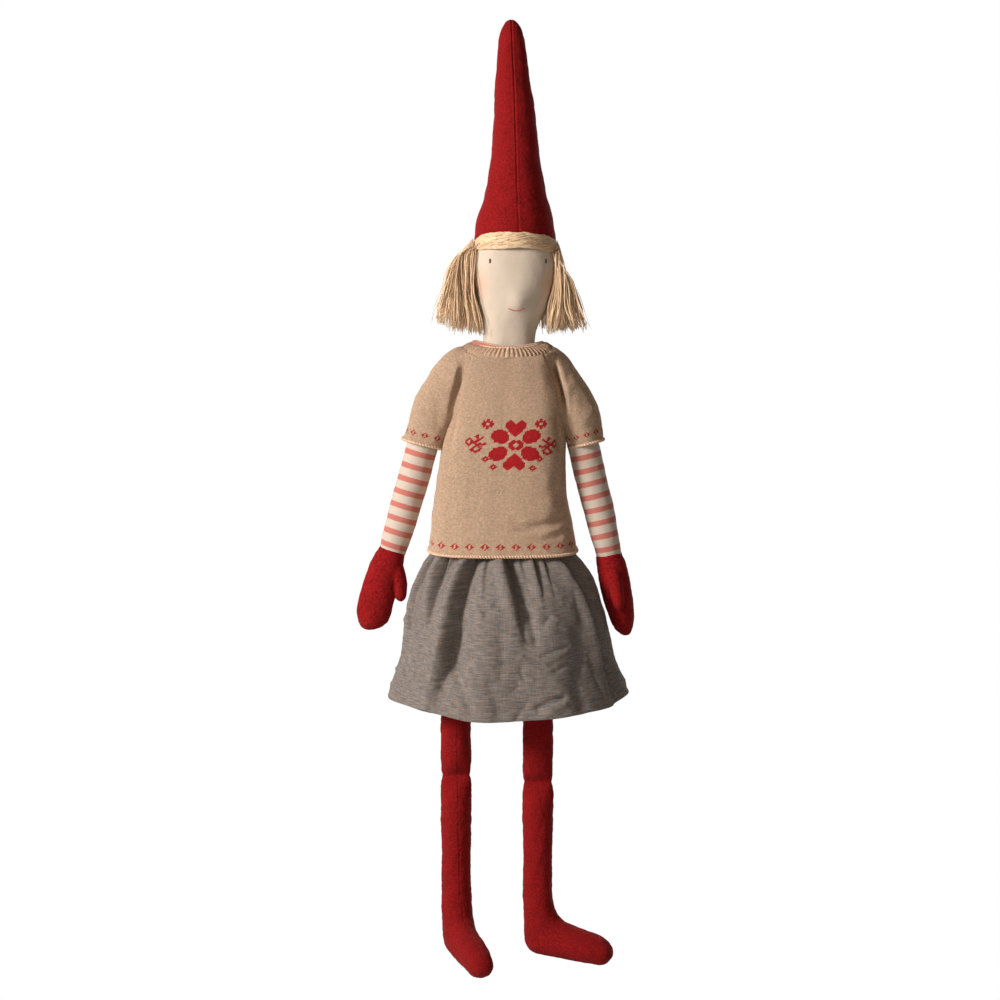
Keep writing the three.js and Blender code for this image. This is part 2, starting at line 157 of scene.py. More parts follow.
# The front seam's ridge: height, place across, how far it stands out, half width.
NOSE = [
    (300, 14, 0.0, 20),
    (322, 15, 0.0, 20),
    (334, 18, 1.0, 16),
    (343, 21, 2.8, 12),
    (349, 23, 5.6, 10.5),
    (355, 23.6, 7.0, 11),
    (364, 24, 5.2, 13),
    (378, 24.3, 2.8, 17),
    (396, 24.6, 1.3, 21),
    (420, 24.6, 0.6, 24),
    (440, 24.6, 0.0, 24),
]
HAT = [
    (20.5, 0, 417, 45.6, 44),
    (20.3, 0, 426, 44.6, 43.4),
    (19.8, 0, 439, 42.8, 41.6),
    (20.3, 0, 453, 39.6, 38.5),
    (20.6, 0, 466, 35.4, 34.5),
    (20.6, 0, 479, 32.4, 31.8),
    (20.4, 0, 492, 30.1, 29.6),
    (20.4, 0, 518, 26.2, 25.8),
    (19.8, 0, 544, 23.8, 23.4),
    (19, 0, 569, 21.8, 21.5),
    (17.4, 0, 595, 19, 18.8),
    (16.6, 0, 621, 16.2, 16),
    (16.2, 0, 640, 13.6, 13.5),
    (15.8, 0, 652, 9.4, 9.4),
    (15.6, 0, 658, 4.6, 4.6),
    (15.5, 0, 659.4, 0, 0),
]
TORSO = [
    (0, 0, 0, 0, 0),
    (0, 0, 0.2, 19, 21),
    (0, 0, 3, 22.5, 24.5),
    (0, 0, 14, 27, 25),
    (1, 0, 27, 50, 22),
    (2, 0, 44, 60, 28),
    (3, 0, 70, 63, 36),
    (4, 0, 110, 64, 41),
    (4, 0, 160, 61, 41),
    (7, 0, 215, 53, 39),
    (8, 0, 255, 47, 35),
    (10, 0, 280, 43, 33.5),
    (12, 0, 296, 41, 34),
    (12.5, 0, 303, 36.5, 33),
    (13, 0, 306.5, 31.5, 30.3),
    (13, 0, 305, 30, 29),
    (13, 0, 296, 29.4, 28.5),
    (13, 0, 287, 12, 12),
    (13, 0, 286, 0, 0),
]
SWEATER = [
    (6.4, 0, 79.5, 82.3, 55),
    (6.2, 0, 90, 81, 54.4),
    (5.4, 0, 108, 78.3, 53),
    (4.4, 0, 134, 74.6, 51),
    (4.6, 0, 160, 72, 50),
    (6, 0, 182, 69.5, 49.4),
    (8.6, 0, 204, 68, 48.6),
    (11, 0, 226, 64.5, 46.6),
    (12, 0, 246, 61.5, 44.4),
    (12.4, 0, 264, 56.5, 42),
    (11.5, 0, 280, 53, 40.4),
    (11.4, 0, 289, 53, 39.4),
    (11.8, 0, 294, 54, 38.8),
    (12, 0, 297, 54.4, 38.3),
]
# How square each piece's level sections are: 2 is an oval.
HEAD_SQUARENESS = 2.55
SWEATER_SQUARENESS = 3.0
NECKBAND_SQUARENESS = 2.1
SKIRT_SQUARENESS = 2.15
NECKBAND = [
    (12, 0, 296.4, 54.8, 38.7),
    (12, 0, 300.2, 51, 37.6),
    (12.2, 0, 303.6, 46, 36),
    (12.4, 0, 306, 41.4, 34.2),
    (12.5, 0, 306.8, 38, 32.8),
]
# The points that the arms turn and lift about.
SHOULDERS = {"right": (-65, -4, 252), "left": (82, -4, 252)}
# Sleeves: the outer edge and the inner edge as (x, z), then half depth, from neck to cuff.
SLEEVES = {
    "right": [
        ((-28, 302), (-12, 284), 17),
        ((-41.5, 304.4), (-10, 276), 22),
        ((-53.5, 299.2), (-14, 262), 26.5),
        ((-64, 290), (-20, 250), 28.5),
        ((-76, 272.8), (-28, 240), 29),
        ((-87, 254.6), (-37, 230), 28.5),
        ((-94.5, 236), (-46, 218), 28),
        ((-99.5, 217), (-52.5, 205), 26),
        ((-104.5, 203), (-57, 191), 24.5),
    ],
    "left": [
        ((52, 302.6), (38, 284), 17),
        ((62, 304), (35, 276), 22),
        ((72.4, 298.6), (38, 262), 26.5),
        ((82, 289), (43, 250), 28.5),
        ((93.4, 272.4), (50, 240), 28.5),
        ((104.4, 255.6), (58, 231), 27.5),
        ((112.5, 239), (67, 219), 26.5),
        ((117, 221), (74.5, 207), 24),
        ((118.5, 202), (80.5, 193.5), 22.5),
    ],
}
# Where each sleeve is sewn to the body, over the front, as x and z.
RAGLANS = {
    "right": [(-26, 303), (-29, 291), (-32, 280), (-35, 268), (-38, 256), (-41, 242), (-43, 230)],
    "left": [(49, 303), (54, 291), (59, 280), (63, 268), (66, 256), (68, 242), (69, 230)],
}
ARMS = {
    "right": [
        (-60, -4, 268, 0, 0),
        (-60.5, -4, 266.5, 8, 8),
        (-62, -4, 261, 14.5, 14.5),
        (-65, -4, 252, 16.8, 16.8),
        (-79, -4, 208, 17.4, 17.4),
        (-92, -4, 162, 17.5, 17.5),
        (-104.3, -5, 119, 17, 17),
        (-112, -6, 93, 16, 16),
        (-117, -6, 77, 14.6, 14.6),
    ],
    "left": [
        (78, -4, 268, 0, 0),
        (78.5, -4, 266.5, 8, 8),
        (80, -4, 261, 14.5, 14.5),
        (82, -4, 252, 16.8, 16.8),
        (93, -4, 208, 17.4, 17.4),
        (104, -4, 162, 17.5, 17.5),
        (114.8, -5, 119, 16.8, 16.8),
        (121, -6, 93, 15.4, 15.4),
        (125.4, -6, 72, 13.9, 13.9),
    ],
}
MITTENS = {
    "right": [
        (-116.4, -6, 79, 14.9, 14.9),
        (-118, -6, 74, 15.6, 15.2),
        (-121.6, -6.4, 65, 17.6, 15.2),
        (-126, -7, 52, 19, 14.6),
        (-131.4, -7.4, 36, 19.4, 14.2),
        (-135.8, -8, 20, 19.6, 13.6),
        (-138.2, -8, 6, 18.8, 12.6),
        (-139.4, -8, -4, 15.6, 10.6),
        (-139, -8, -9.5, 10.2, 7),
        (-138.6, -8, -12.2, 0, 0),
    ],
    "left": [
        (125, -6, 74, 14.2, 14.4),
        (126, -6, 69, 14.8, 15.4),
        (128.4, -6.4, 60, 16.2, 17.4),
        (131, -7, 48, 16.8, 19),
        (134.6, -7.4, 30, 16.8, 19.4),
        (138.4, -8, 12, 15.4, 19.4),
        (141.6, -8, -2, 12.8, 17.8),
        (144.4, -8, -11, 8.8, 13.4),
        (146, -8, -16.4, 4.6, 7.4),
        (146.4, -8, -18, 0, 0),
    ],
}
THUMBS = {
    "right": [
        (-118, -9, 66, 0, 0),
        (-116, -9, 63, 8, 8),
        (-112, -9.5, 54, 9.2, 9.4),
        (-109.4, -10, 44, 8.6, 9),
        (-108, -10.5, 33, 7.6, 8),
        (-107.6, -11, 25, 5.8, 6.4),
        (-107.4, -11, 19.6, 0, 0),
    ],
    "left": [
        (129, -12, 62, 0, 0),
        (129, -15, 58, 7, 7),
        (130.6, -22, 48, 8, 9.4),
        (132.6, -27.5, 36, 7.8, 9),
        (134.4, -30.5, 26, 7, 7.8),
        (135.6, -31.6, 18, 5.2, 5.8),
        (136, -32, 13, 0, 0),
    ],
}
LEG = {
    "right": {"x": -46.6, "knee": -180, "ankle": 9, "turn": 22, "narrow": 0.17},
    "left": {"x": 46.6, "knee": -188, "ankle": 6, "turn": 70, "narrow": 0.0},
}
LEG_RADIUS = 17
# The ankle and foot in profile: the front edge and the back edge of each section as
# (distance ahead of the ankle, height), then its half width.
FOOT = [
    ((17.0, -300), (-17.0, -300), 17.0),
    ((17.6, -322), (-16.8, -326), 17.2),
    ((20.0, -336), (-15.8, -350), 17.6),
    ((23.4, -343.4), (-15.0, -368), 18.0),
    ((27.0, -347.6), (-12.6, -381), 18.4),
    ((31.6, -350.8), (-6.0, -389.4), 18.7),
    ((38.0, -353.4), (6.0, -391.8), 18.9),
    ((46.0, -355.8), (24.0, -392.6), 19.2),
    ((57.0, -358.6), (46.0, -393.6), 19.6),
    ((70.0, -362.0), (66.0, -394.8), 19.0),
    ((80.0, -366.4), (79.0, -394.2), 16.6),
    ((86.4, -372.0), (86.4, -389.6), 11.6),
    ((89.6, -377.6), (89.6, -385.0), 5.6),
    ((90.4, -381.2), (90.4, -381.2), 0.0),
]
SKIRT = [
    (5, 0, 86, 76, 50),
    (5, 0, 80, 78, 51.5),
    (5.5, 0, 72, 84, 57),
    (6.5, 0, 60, 93, 65),
    (8, 0, 42, 103, 75),
    (9.4, 0, 10, 112.5, 85),
    (11, 0, -20, 116.5, 89),
    (11, 0, -45, 120, 91),
    (11.4, 0, -66, 127, 94),
    (12, 0, -86, 134, 97),
]
# The folds over the skirt's front: the angle from straight ahead at the waist, the angle lower
# down, the share of the way down where that is reached, depth, half width, and how far it runs.
FRONT_FOLDS = [
    (-76, -70, 0.5, 9, 5, 0.45),
    (-54, -48, 0.4, 17, 4.2, 0.38),
    (-40, -42, 0.4, 6, 3.6, 0.2),
    (-24, -34, 0.72, 20, 5.6, 0.82),
    (-11, -10, 0.3, 5, 3.2, 0.16),
    (1, 9, 0.5, 17, 4.4, 0.44),
    (13, 14, 0.3, 6, 3.2, 0.18),
    (24, 23, 0.35, 11, 3.6, 0.24),
    (34, 31, 0.3, 7, 3.4, 0.2),
    (46, 62, 0.7, 22, 5.8, 0.84),
    (74, 76, 0.5, 9, 5, 0.5),
]
# The profile across a fold, in half widths of it: a steep wall on one side and a gentle one on
# the other, with a ridge beyond the steep wall whose cloth slides over the fold.
STEEP_WALL, GENTLE_WALL = 0.62, 2.1
RIDGE_AT, RIDGE_SHARE = -1.25, 0.30
SLIDE_AT, SLIDE_SHARE = -0.9, 0.4
RIDGE_WIDTH = 0.6
DEEPEST_FOLD, FARTHEST_SLIDE = 28, 4.5
HEM_STITCHES = 0.942
# Creases pressed or raised in the skirt's front: a path of (x, z), its width and its depth.
FRONT_CREASES = [
    ([(-42, -8), (-46, -34), (-38, -60), (-29, -86)], 7, 4.2),
    ([(-33, -10), (-37, -36), (-30, -58)], 5, -2.0),
    ([(22, -24), (38, -30), (52, -37), (61, -38)], 1.5, 1.7),
    ([(24, -28), (40, -34), (58, -42)], 2.6, -1.4),
    ([(49, -28), (62, -22), (77, -18)], 1.6, 1.5),
    ([(52, -34), (64, -29), (76, -24)], 2.6, -1.1),
    ([(44, -84), (57, -76), (72, -73)], 3.4, 3.0),
    ([(52, -92), (64, -84), (74, -80)], 3.4, -1.6),
    ([(-90, -54), (-76, -58), (-62, -58)], 1.4, 1.7),
    ([(-88, -60), (-78, -64), (-66, -62)], 2.2, -1.2),
    ([(4, -10), (8, -34), (4, -52)], 5, 1.6),
    ([(-8, -58), (-2, -72), (2, -88)], 6, 2.4),
    ([(30, 22), (38, 6), (42, -12)], 4, 2.4),
    ([(88, -4), (92, -30), (86, -58), (92, -84)], 6, 3.4),
    ([(100, -30), (106, -54), (118, -78)], 1.2, 0.9),
    ([(-96, 8), (-92, -14), (-98, -36)], 5, 2.2),
]
# Each light: where it stands, its size, its power and its colour. All look at the sweater.
LIGHTS = {
    "window": ((-1.55, -1.06, 0.86), 0.6, 53, (1, 1, 1)),
    "front fill": ((0.1, -2.6, 0.4), 1.6, 9, (1, 0.91, 0.82)),
    "back light": ((-0.9, 2.3, 0.9), 1.8, 26, (1, 1, 1)),
    "far side": ((1.4, 2.2, 0.5), 1.8, 22, (1, 1, 1)),
}
LIT_POINT = (0, 0, 0.10)
ROOM_COLOUR, ROOM_STRENGTH = (1, 0.93, 0.86, 1), 0.112
WHITE = (1, 1, 1, 1)
FLOOR_HEIGHT = -0.425
CAMERA_PLACE = (0.0035, -1.9, 0.320)
CAMERA_TILT = math.radians(90 - 5.6)
CAMERA_LENS = 61.4


# ---- modelling ----------------------------------------------------------------------------
def deselect():
    if bpy.context.mode != "OBJECT":
        bpy.ops.object.mode_set(mode="OBJECT")
    bpy.ops.object.select_all(action="DESELECT")


def points_of(piece):
    points = np.empty(len(piece.data.vertices) * 3)
    piece.data.vertices.foreach_get("co", points)
    return points.reshape(-1, 3)


def put_points(piece, points):
    piece.data.vertices.foreach_set("co", np.asarray(points, float).ravel())
    piece.data.update()


def normals_of(piece):
    normals = np.empty(len(piece.data.vertices) * 3)
    piece.data.vertex_normals.foreach_get("vector", normals)
    return normals.reshape(-1, 3)


def along_rows(rows, share):
    """The rows' values at a share of the way along, on a smooth curve through every row."""
    rows = np.array(rows, float)
    steps = np.linalg.norm(np.diff(rows, axis=0), axis=1)
    at = np.concatenate([[0], np.cumsum(steps)]) / steps.sum()
    slope = np.gradient(rows, at, axis=0)
    share = np.clip(np.asarray(share, float), 0, 1)
    i = np.clip(np.searchsorted(at, share, side="right") - 1, 0, len(at) - 2)
    gap = (at[i + 1] - at[i])[:, None]
    s = (share[:, None] - at[i][:, None]) / gap
    return (
        rows[i] * (2 * s**3 - 3 * s**2 + 1)
        + rows[i + 1] * (3 * s**2 - 2 * s**3)
        + slope[i] * gap * (s**3 - 2 * s**2 + s)
        + slope[i + 1] * gap * (s**3 - s**2)
    )


def level_loft(rows, squareness=2.0, turn=0.0):
    """Places a sheet's (u, v) round level oval sections. turn moves the join round the form."""

    def place(u, v):
        row = along_rows(rows, v)
        angle = 2 * np.pi * (u + turn)
        c, s = np.cos(angle), np.sin(angle)
        power = 2 / squareness
        across = np.sign(c) * np.abs(c) ** power
        deep = np.sign(s) * np.abs(s) ** power
        half = np.maximum(row[:, 3:5], 0)
        return np.column_stack(
            [row[:, 0] + half[:, 0] * across, row[:, 1] + half[:, 1] * deep, row[:, 2]]
        )

    return place


def square_loft(rows):
    """Places a sheet's (u, v) round oval sections that stand square to the spine."""
    across = np.array((1.0, 0, 0))

    def place(u, v):
        row = along_rows(rows, v)
        step = 0.012
        ahead = along_rows(rows, v + step)[:, :3] - along_rows(rows, v - step)[:, :3]
        ahead /= np.linalg.norm(ahead, axis=1)[:, None] + 1e-12
        side = across - ahead * (ahead @ across)[:, None]
        side /= np.linalg.norm(side, axis=1)[:, None]
        out = np.cross(ahead, side)
        angle = 2 * np.pi * u
        half = np.maximum(row[:, 3:5], 0)
        return (
            row[:, :3]
            + side * (half[:, 0] * np.cos(angle))[:, None]
            + out * (half[:, 1] * np.sin(angle))[:, None]
        )

    return place


def framed_loft(rows):
    """Places a sheet's (u, v) round sections given by a middle and two half axes."""

    def place(u, v):
        row = along_rows(rows, v)
        angle = 2 * np.pi * u
        return (
            row[:, :3]
            + row[:, 3:6] * np.cos(angle)[:, None]
            + row[:, 6:9] * np.sin(angle)[:, None]
        )

    return place


def cloth_tube(name, around, along, place, girth=None, reach=None, even=False):
    """A flat grid of cloth joined into a tube. place(u, v) gives its points in millimetres.
    Its UV map is in centimetres of cloth, or runs to girth and reach where these are given."""
    deselect()
    bpy.ops.mesh.primitive_grid_add(x_subdivisions=around, y_subdivisions=along, size=1)
    piece = bpy.context.object
    piece.name = piece.data.name = name
    flat = points_of(piece)
    placed = place(flat[:, 0] + 0.5, flat[:, 1] + 0.5)
    if even:
        placed = evenly_round(placed, around, along)
    put_points(piece, placed * MM)
    scale_uv(piece, placed, around, along, girth, reach)
    join_edges(piece)
    return piece


def evenly_round(placed, around, along):
    """Slides each ring's points along it until they are equally far apart."""
    rings = placed.reshape(along + 1, around + 1, 3).copy()
    for ring in rings:
        at = np.concatenate([[0], np.cumsum(np.linalg.norm(np.diff(ring, axis=0), axis=1))])
        share = np.linspace(0, at[-1], around + 1)
        ring[:] = np.column_stack([np.interp(share, at, ring[:, k]) for k in range(3)])
    return rings.reshape(-1, 3)


def scale_uv(piece, placed, around, along, girth, reach):
    rings = placed.reshape(along + 1, around + 1, 3)
    if girth is None:
        girth = np.linalg.norm(np.diff(rings, axis=1), axis=2).sum(axis=1).max() / 10
    if reach is None:
        reach = np.linalg.norm(np.diff(rings, axis=0), axis=2).sum(axis=0).max() / 10
    layer = piece.data.uv_layers[0]
    uv = np.empty(len(layer.data) * 2)
    layer.data.foreach_get("uv", uv)
    uv = uv.reshape(-1, 2) * (girth, reach)
    layer.data.foreach_set("uv", uv.ravel())


def join_edges(piece):
    """Closes the tube where its edges meet, and turns its faces outwards."""
    bpy.context.view_layer.objects.active = piece
    bpy.ops.object.mode_set(mode="EDIT")
    bpy.ops.mesh.select_all(action="SELECT")
    bpy.ops.mesh.remove_doubles(threshold=2e-6)
    bpy.ops.object.mode_set(mode="OBJECT")
    if inside_out(piece):
        piece.data.flip_normals()
    bpy.ops.object.shade_smooth()


def inside_out(piece):
    """True if the faces look inwards, judged from the volume that they wrap."""
    points = points_of(piece)
    points = points - points.mean(axis=0)
    piece.data.calc_loop_triangles()
    corners = np.empty(len(piece.data.loop_triangles) * 3, int)
    piece.data.loop_triangles.foreach_get("vertices", corners)
    a, b, c = (points[corners.reshape(-1, 3)[:, k]] for k in range(3))
    return (a * np.cross(b, c)).sum() < 0


def apply_modifier(piece, kind, **values):
    modifier = piece.modifiers.new(kind.title(), kind)
    for key, value in values.items():
        setattr(modifier, key, value)
    deselect()
    bpy.context.view_layer.objects.active = piece
    piece.select_set(True)
    bpy.ops.object.modifier_apply(modifier=modifier.name)


def far_from_path(points, path):
    """Each point's distance to a path of straight stretches, and how far along it, 0 to 1."""
    path = np.array(path, float)
    best = np.full(len(points), np.inf)
    where = np.zeros(len(points))
    for k in range(len(path) - 1):
        leg = path[k + 1] - path[k]
        t = np.clip((points - path[k]) @ leg / (leg @ leg + 1e-12), 0, 1)
        away = np.linalg.norm(points - path[k] - t[:, None] * leg, axis=1)
        nearer = away < best
        best[nearer] = away[nearer]
        where[nearer] = (k + t[nearer]) / (len(path) - 1)
    return best, where


def press(piece, path, width, depth, ends=0.12):
    """Presses a fold or a sewn line into the piece along a path. All lengths in millimetres.
    A negative depth raises a ridge."""
    points = points_of(piece)
    away, where = far_from_path(points / MM, path)
    fade = ease(np.clip(np.minimum(where, 1 - where) / ends, 0, 1))
    push = depth * hill(away / width) * fade
    put_points(piece, points - normals_of(piece) * (push * MM)[:, None])


def wavy(points, size, seed, octaves=3):
    """Smooth seeded unevenness at each point, roughly -1 to 1, for lumps of about that size."""
    rng = np.random.default_rng(seed)
    total = np.zeros(len(points))
    weight = 1.0
    for octave in range(octaves):
        for _ in range(7):
            way = rng.normal(size=3)
            way /= np.linalg.norm(way)
            pace = 2 * np.pi / (size * rng.uniform(0.7, 1.4)) * 2**octave
            total += weight * np.sin(points @ way * pace + rng.uniform(0, 2 * np.pi))
        weight *= 0.5
    return total / 4.5


def lump(piece, size, height, seed, octaves=3):
    """Makes stuffed or worn cloth slightly uneven. Lengths in millimetres."""
    points = points_of(piece)
    push = wavy(points / MM, size, seed, octaves) * height * MM
    put_points(piece, points + normals_of(piece) * push[:, None])


def bundle(name, routes, radii, around=4):
    """Strands in one mesh. Each route is a list of points in millimetres; each radius tapers."""
    points, faces, shades = [], [], []
    turn = 2 * np.pi * np.arange(around) / around
    start = 0
    for k, route in enumerate(routes):
        route = np.asarray(route, float)
        ahead = np.gradient(route, axis=0)
        ahead /= np.linalg.norm(ahead, axis=1)[:, None] + 1e-12
        helper = np.array([0.31, 0.87, 0.38])
        side = np.cross(ahead, helper)
        side /= np.linalg.norm(side, axis=1)[:, None] + 1e-12
        out = np.cross(ahead, side)
        taper = np.clip(np.linspace(0, 1, len(route)) * 6, 0.6, 1)
        taper = np.minimum(taper, np.clip((1 - np.linspace(0, 1, len(route))) * 6, 0.55, 1))
        radius = radii[k] * taper
        ring = (
            route[:, None, :]
            + side[:, None, :] * (radius[:, None] * np.cos(turn))[:, :, None]
            + out[:, None, :] * (radius[:, None] * np.sin(turn))[:, :, None]
        )
        points.append(ring.reshape(-1, 3))
        n = len(route)
        for i in range(n - 1):
            for j in range(around):
                a = start + i * around + j
                b = start + i * around + (j + 1) % around
                faces.append((a, b, b + around, a + around))
        faces.append(tuple(start + j for j in reversed(range(around))))
        faces.append(tuple(start + (n - 1) * around + j for j in range(around)))
        shades.extend([(k * 0.618034) % 1.0] * (n * around))
        start += n * around
    mesh = bpy.data.meshes.new(name)
    mesh.from_pydata((np.concatenate(points) * MM).tolist(), [], faces)
    mesh.attributes.new("strand", "FLOAT", "POINT").data.foreach_set("value", shades)
    piece = bpy.data.objects.new(name, mesh)
    bpy.context.collection.objects.link(piece)
    deselect()
    bpy.context.view_layer.objects.active = piece
    piece.select_set(True)
    bpy.ops.object.shade_smooth()
    return piece


def curve_through(knots, steps):
    """Points on a smooth curve through a few knots."""
    rows = np.array(knots, float)
    return along_rows(rows, np.linspace(0, 1, steps))


def dress(piece, material, body=None):
    """Gives a finished piece its material and slot, and the body that it rides on."""
    piece.data.materials.clear()
    piece.data.materials.append(material)
    if body:
        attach(piece, body)


# ---- materials ----------------------------------------------------------------------------
class Cloth:
    """A material under construction: short names for its nodes and links."""

    def __init__(self, name, group=False):
        if group:
            self.tree = bpy.data.node_groups.new(name, "ShaderNodeTree")
            self.end = self.tree.nodes.new("NodeGroupOutput")
            self.start = self.tree.nodes.new("NodeGroupInput")
            return
        self.material = bpy.data.materials.new(name)
        self.material.use_nodes = True
        self.tree = self.material.node_tree
        self.shader = self.tree.nodes["Principled BSDF"]

    def feed(self, socket, value):
        if isinstance(value, bpy.types.NodeSocket):
            self.tree.links.new(value, socket)
        elif value is not None:
            socket.default_value = value

    def add(self, kind, inputs=(), **props):
        node = self.tree.nodes.new(kind)
        for key, value in props.items():
            setattr(node, key, value)
        for key, value in dict(inputs).items():
            self.feed(node.inputs[key], value)
        return node

    def math(self, operation, a, b=None, clamp=False):
        node = self.add("ShaderNodeMath", {0: a, 1: b}, operation=operation, use_clamp=clamp)
        return node.outputs[0]

    def mix(self, share, a, b):
        node = self.add("ShaderNodeMix", data_type="RGBA")
        self.feed(node.inputs["Factor"], share)
        self.feed(node.inputs["A"], a)
        self.feed(node.inputs["B"], b)
        return node.outputs["Result"]

    def stretch(self, value, low, high, out_low=0.0, out_high=1.0):
        inputs = {"Value": value, "From Min": low, "From Max": high}
        inputs.update({"To Min": out_low, "To Max": out_high})
        return self.add("ShaderNodeMapRange", inputs).outputs["Result"]

    def uv(self, scale=(1, 1, 1)):
        node = self.add("ShaderNodeTexCoord")
        mapping = self.add("ShaderNodeMapping", {"Vector": node.outputs["UV"], "Scale": scale})
        return mapping.outputs["Vector"]

    def object(self, scale=(1, 1, 1), place=(0, 0, 0)):
        node = self.add("ShaderNodeTexCoord")
        mapping = self.add(
            "ShaderNodeMapping",
            {"Vector": node.outputs["Object"], "Scale": scale, "Location": place},
        )
        return mapping.outputs["Vector"]

    def noise(self, vector, scale, detail=3.0, rough=0.55):
        inputs = {"Vector": vector, "Scale": scale, "Detail": detail, "Roughness": rough}
        return self.add("ShaderNodeTexNoise", inputs).outputs["Fac"]

    def attribute(self, name):
        return self.add("ShaderNodeAttribute", attribute_name=name).outputs["Fac"]

    def use(self, group, inputs=()):
        node = self.tree.nodes.new("ShaderNodeGroup")
        node.node_tree = bpy.data.node_groups[group]
        for key, value in dict(inputs).items():
            self.feed(node.inputs[key], value)
        return node.outputs

    def bump(self, height, distance, strength=1.0, normal=None):
        inputs = {"Height": height, "Distance": distance, "Strength": strength, "Normal": normal}
        return self.add("ShaderNodeBump", inputs).outputs["Normal"]

    def finish(self, base, roughness, normal, sheen=0.0, sheen_tint=(1, 1, 1), specular=0.3):
        self.feed(self.shader.inputs["Base Color"], base)
        self.feed(self.shader.inputs["Roughness"], roughness)
        self.feed(self.shader.inputs["Normal"], normal)
        self.shader.inputs["Sheen Weight"].default_value = sheen
        self.shader.inputs["Sheen Roughness"].default_value = 0.45
        self.shader.inputs["Sheen Tint"].default_value = (*sheen_tint, 1)
        self.shader.inputs["Specular IOR Level"].default_value = specular
        return self.material


def socket(tree, name, direction, kind="NodeSocketFloat", default=None):
    made = tree.interface.new_socket(name=name, in_out=direction, socket_type=kind)
    if default is not None:
        made.default_value = default


def rgb(value, strength=1.0, lift=0.0):
    """A colour for a socket, made darker or lighter by strength and lift."""
    return (*(min(1, k * strength + lift) for k in value), 1)


def make_weave_group():
    """Plain weave. Threads are counted by the vector; gives the height and each thread's shade."""
    g = Cloth("Plain weave", group=True)
    socket(g.tree, "Threads", "INPUT", "NodeSocketVector")
    socket(g.tree, "Slub", "INPUT", default=0.5)
    socket(g.tree, "Height", "OUTPUT")
    socket(g.tree, "Shade", "OUTPUT")
    threads = g.start.outputs["Threads"]
    split = g.add("ShaderNodeSeparateXYZ", {"Vector": threads}).outputs
    x, y = split["X"], split["Y"]

    def hump(value):
        centred = g.math("SUBTRACT", g.math("MULTIPLY", g.math("FRACT", value), 2.0), 1.0)
        return g.math("SUBTRACT", 1.0, g.math("MULTIPLY", centred, centred))

    cell = g.math("ADD", g.math("FLOOR", x), g.math("FLOOR", y))
    over = g.math("ABSOLUTE", g.math("MODULO", cell, 2.0))
    under = g.math("SUBTRACT", 1.0, over)

    def whichever_is_on_top(warp, weft):
        return g.math("ADD", g.math("MULTIPLY", over, warp), g.math("MULTIPLY", under, weft))

    def thread_tone(scale):
        mapping = g.add("ShaderNodeMapping", {"Vector": threads, "Scale": scale})
        return g.noise(mapping.outputs["Vector"], 0.9, 2.0)

    height = whichever_is_on_top(hump(x), hump(y))
    weft_tone = thread_tone((0.055, 1.0, 1.0))
    tone = whichever_is_on_top(thread_tone((1.0, 0.055, 1.0)), weft_tone)
    thick = g.math("MULTIPLY", g.math("SUBTRACT", weft_tone, 0.5), g.start.outputs["Slub"])
    g.feed(g.end.inputs["Height"], g.math("ADD", height, thick))
    g.feed(g.end.inputs["Shade"], g.stretch(tone, 0.3, 0.7))


def make_knit_group():
    """Stocking stitch. The vector counts stitches across and rows up."""
    g = Cloth("Stocking stitch", group=True)
    socket(g.tree, "Stitches", "INPUT", "NodeSocketVector")
    socket(g.tree, "Height", "OUTPUT")
    socket(g.tree, "Shade", "OUTPUT")
    split = g.add("ShaderNodeSeparateXYZ", {"Vector": g.start.outputs["Stitches"]}).outputs
    from_middle = g.math("ABSOLUTE", g.math("SUBTRACT", g.math("FRACT", split["X"]), 0.5))
    off = g.math("MULTIPLY", g.math("SUBTRACT", from_middle, 0.25), 4.0)
    leg = g.math("SUBTRACT", 1.0, g.math("MULTIPLY", off, off))
    rise = g.math("ADD", split["Y"], g.math("MULTIPLY", from_middle, -1.5))
    beat = g.math("SUBTRACT", g.math("MULTIPLY", g.math("FRACT", rise), 2.0), 1.0)
    loop = g.math("SUBTRACT", 1.0, g.math("MULTIPLY", beat, beat))
    height = g.math("MULTIPLY", g.math("MAXIMUM", leg, 0.0), g.math("POWER", loop, 0.5))
    fibre = g.noise(g.start.outputs["Stitches"], 2.6, 3.0, 0.7)
    g.feed(g.end.inputs["Height"], g.math("ADD", height, g.math("MULTIPLY", fibre, 0.25)))
    # The shade is the stitch's height, used to paint shade into the dips between the loops.
    g.feed(g.end.inputs["Shade"], g.stretch(height, 0.0, 0.8))


def make_handled_group():
    """Slow unevenness of tone, as on cloth that has been washed and handled."""
    g = Cloth("Handled cloth", group=True)
    socket(g.tree, "Where", "INPUT", "NodeSocketVector")
    socket(g.tree, "Size", "INPUT", default=20.0)
    socket(g.tree, "Tone", "OUTPUT")
    broad = g.noise(g.start.outputs["Where"], g.start.outputs["Size"], 4.0, 0.6)
    g.feed(g.end.inputs["Tone"], g.stretch(broad, 0.3, 0.7))


def wool_finish(m, weave, tone, grain, fuzz):
    """The felted red of the hat, the legs and the mittens, whatever its pattern is laid on."""
    c = colours()
    grain = m.stretch(grain, 0.41, 0.59)
    share = m.math("ADD", m.math("MULTIPLY", weave["Shade"], 0.26), m.math("MULTIPLY", tone, 0.12))
    share = m.math("ADD", share, m.math("MULTIPLY", grain, 0.56))
    # Painted highlight and shade: the weave's raised threads are lighter in colour and the dips
    # between them darker.
    share = m.math("ADD", share, m.math("MULTIPLY", weave["Height"], 0.14), clamp=True)
    base = m.mix(share, rgb(c.wool_dark), rgb(c.wool_light))
    normal = m.bump(weave["Height"], 0.00016, 0.75, m.bump(fuzz, 0.00035, 0.5))
    rough = m.stretch(fuzz, 0.2, 0.8, 0.82, 0.98)
    return m.finish(base, rough, normal, sheen=0.10, sheen_tint=(1.0, 0.26, 0.22), specular=0.08)


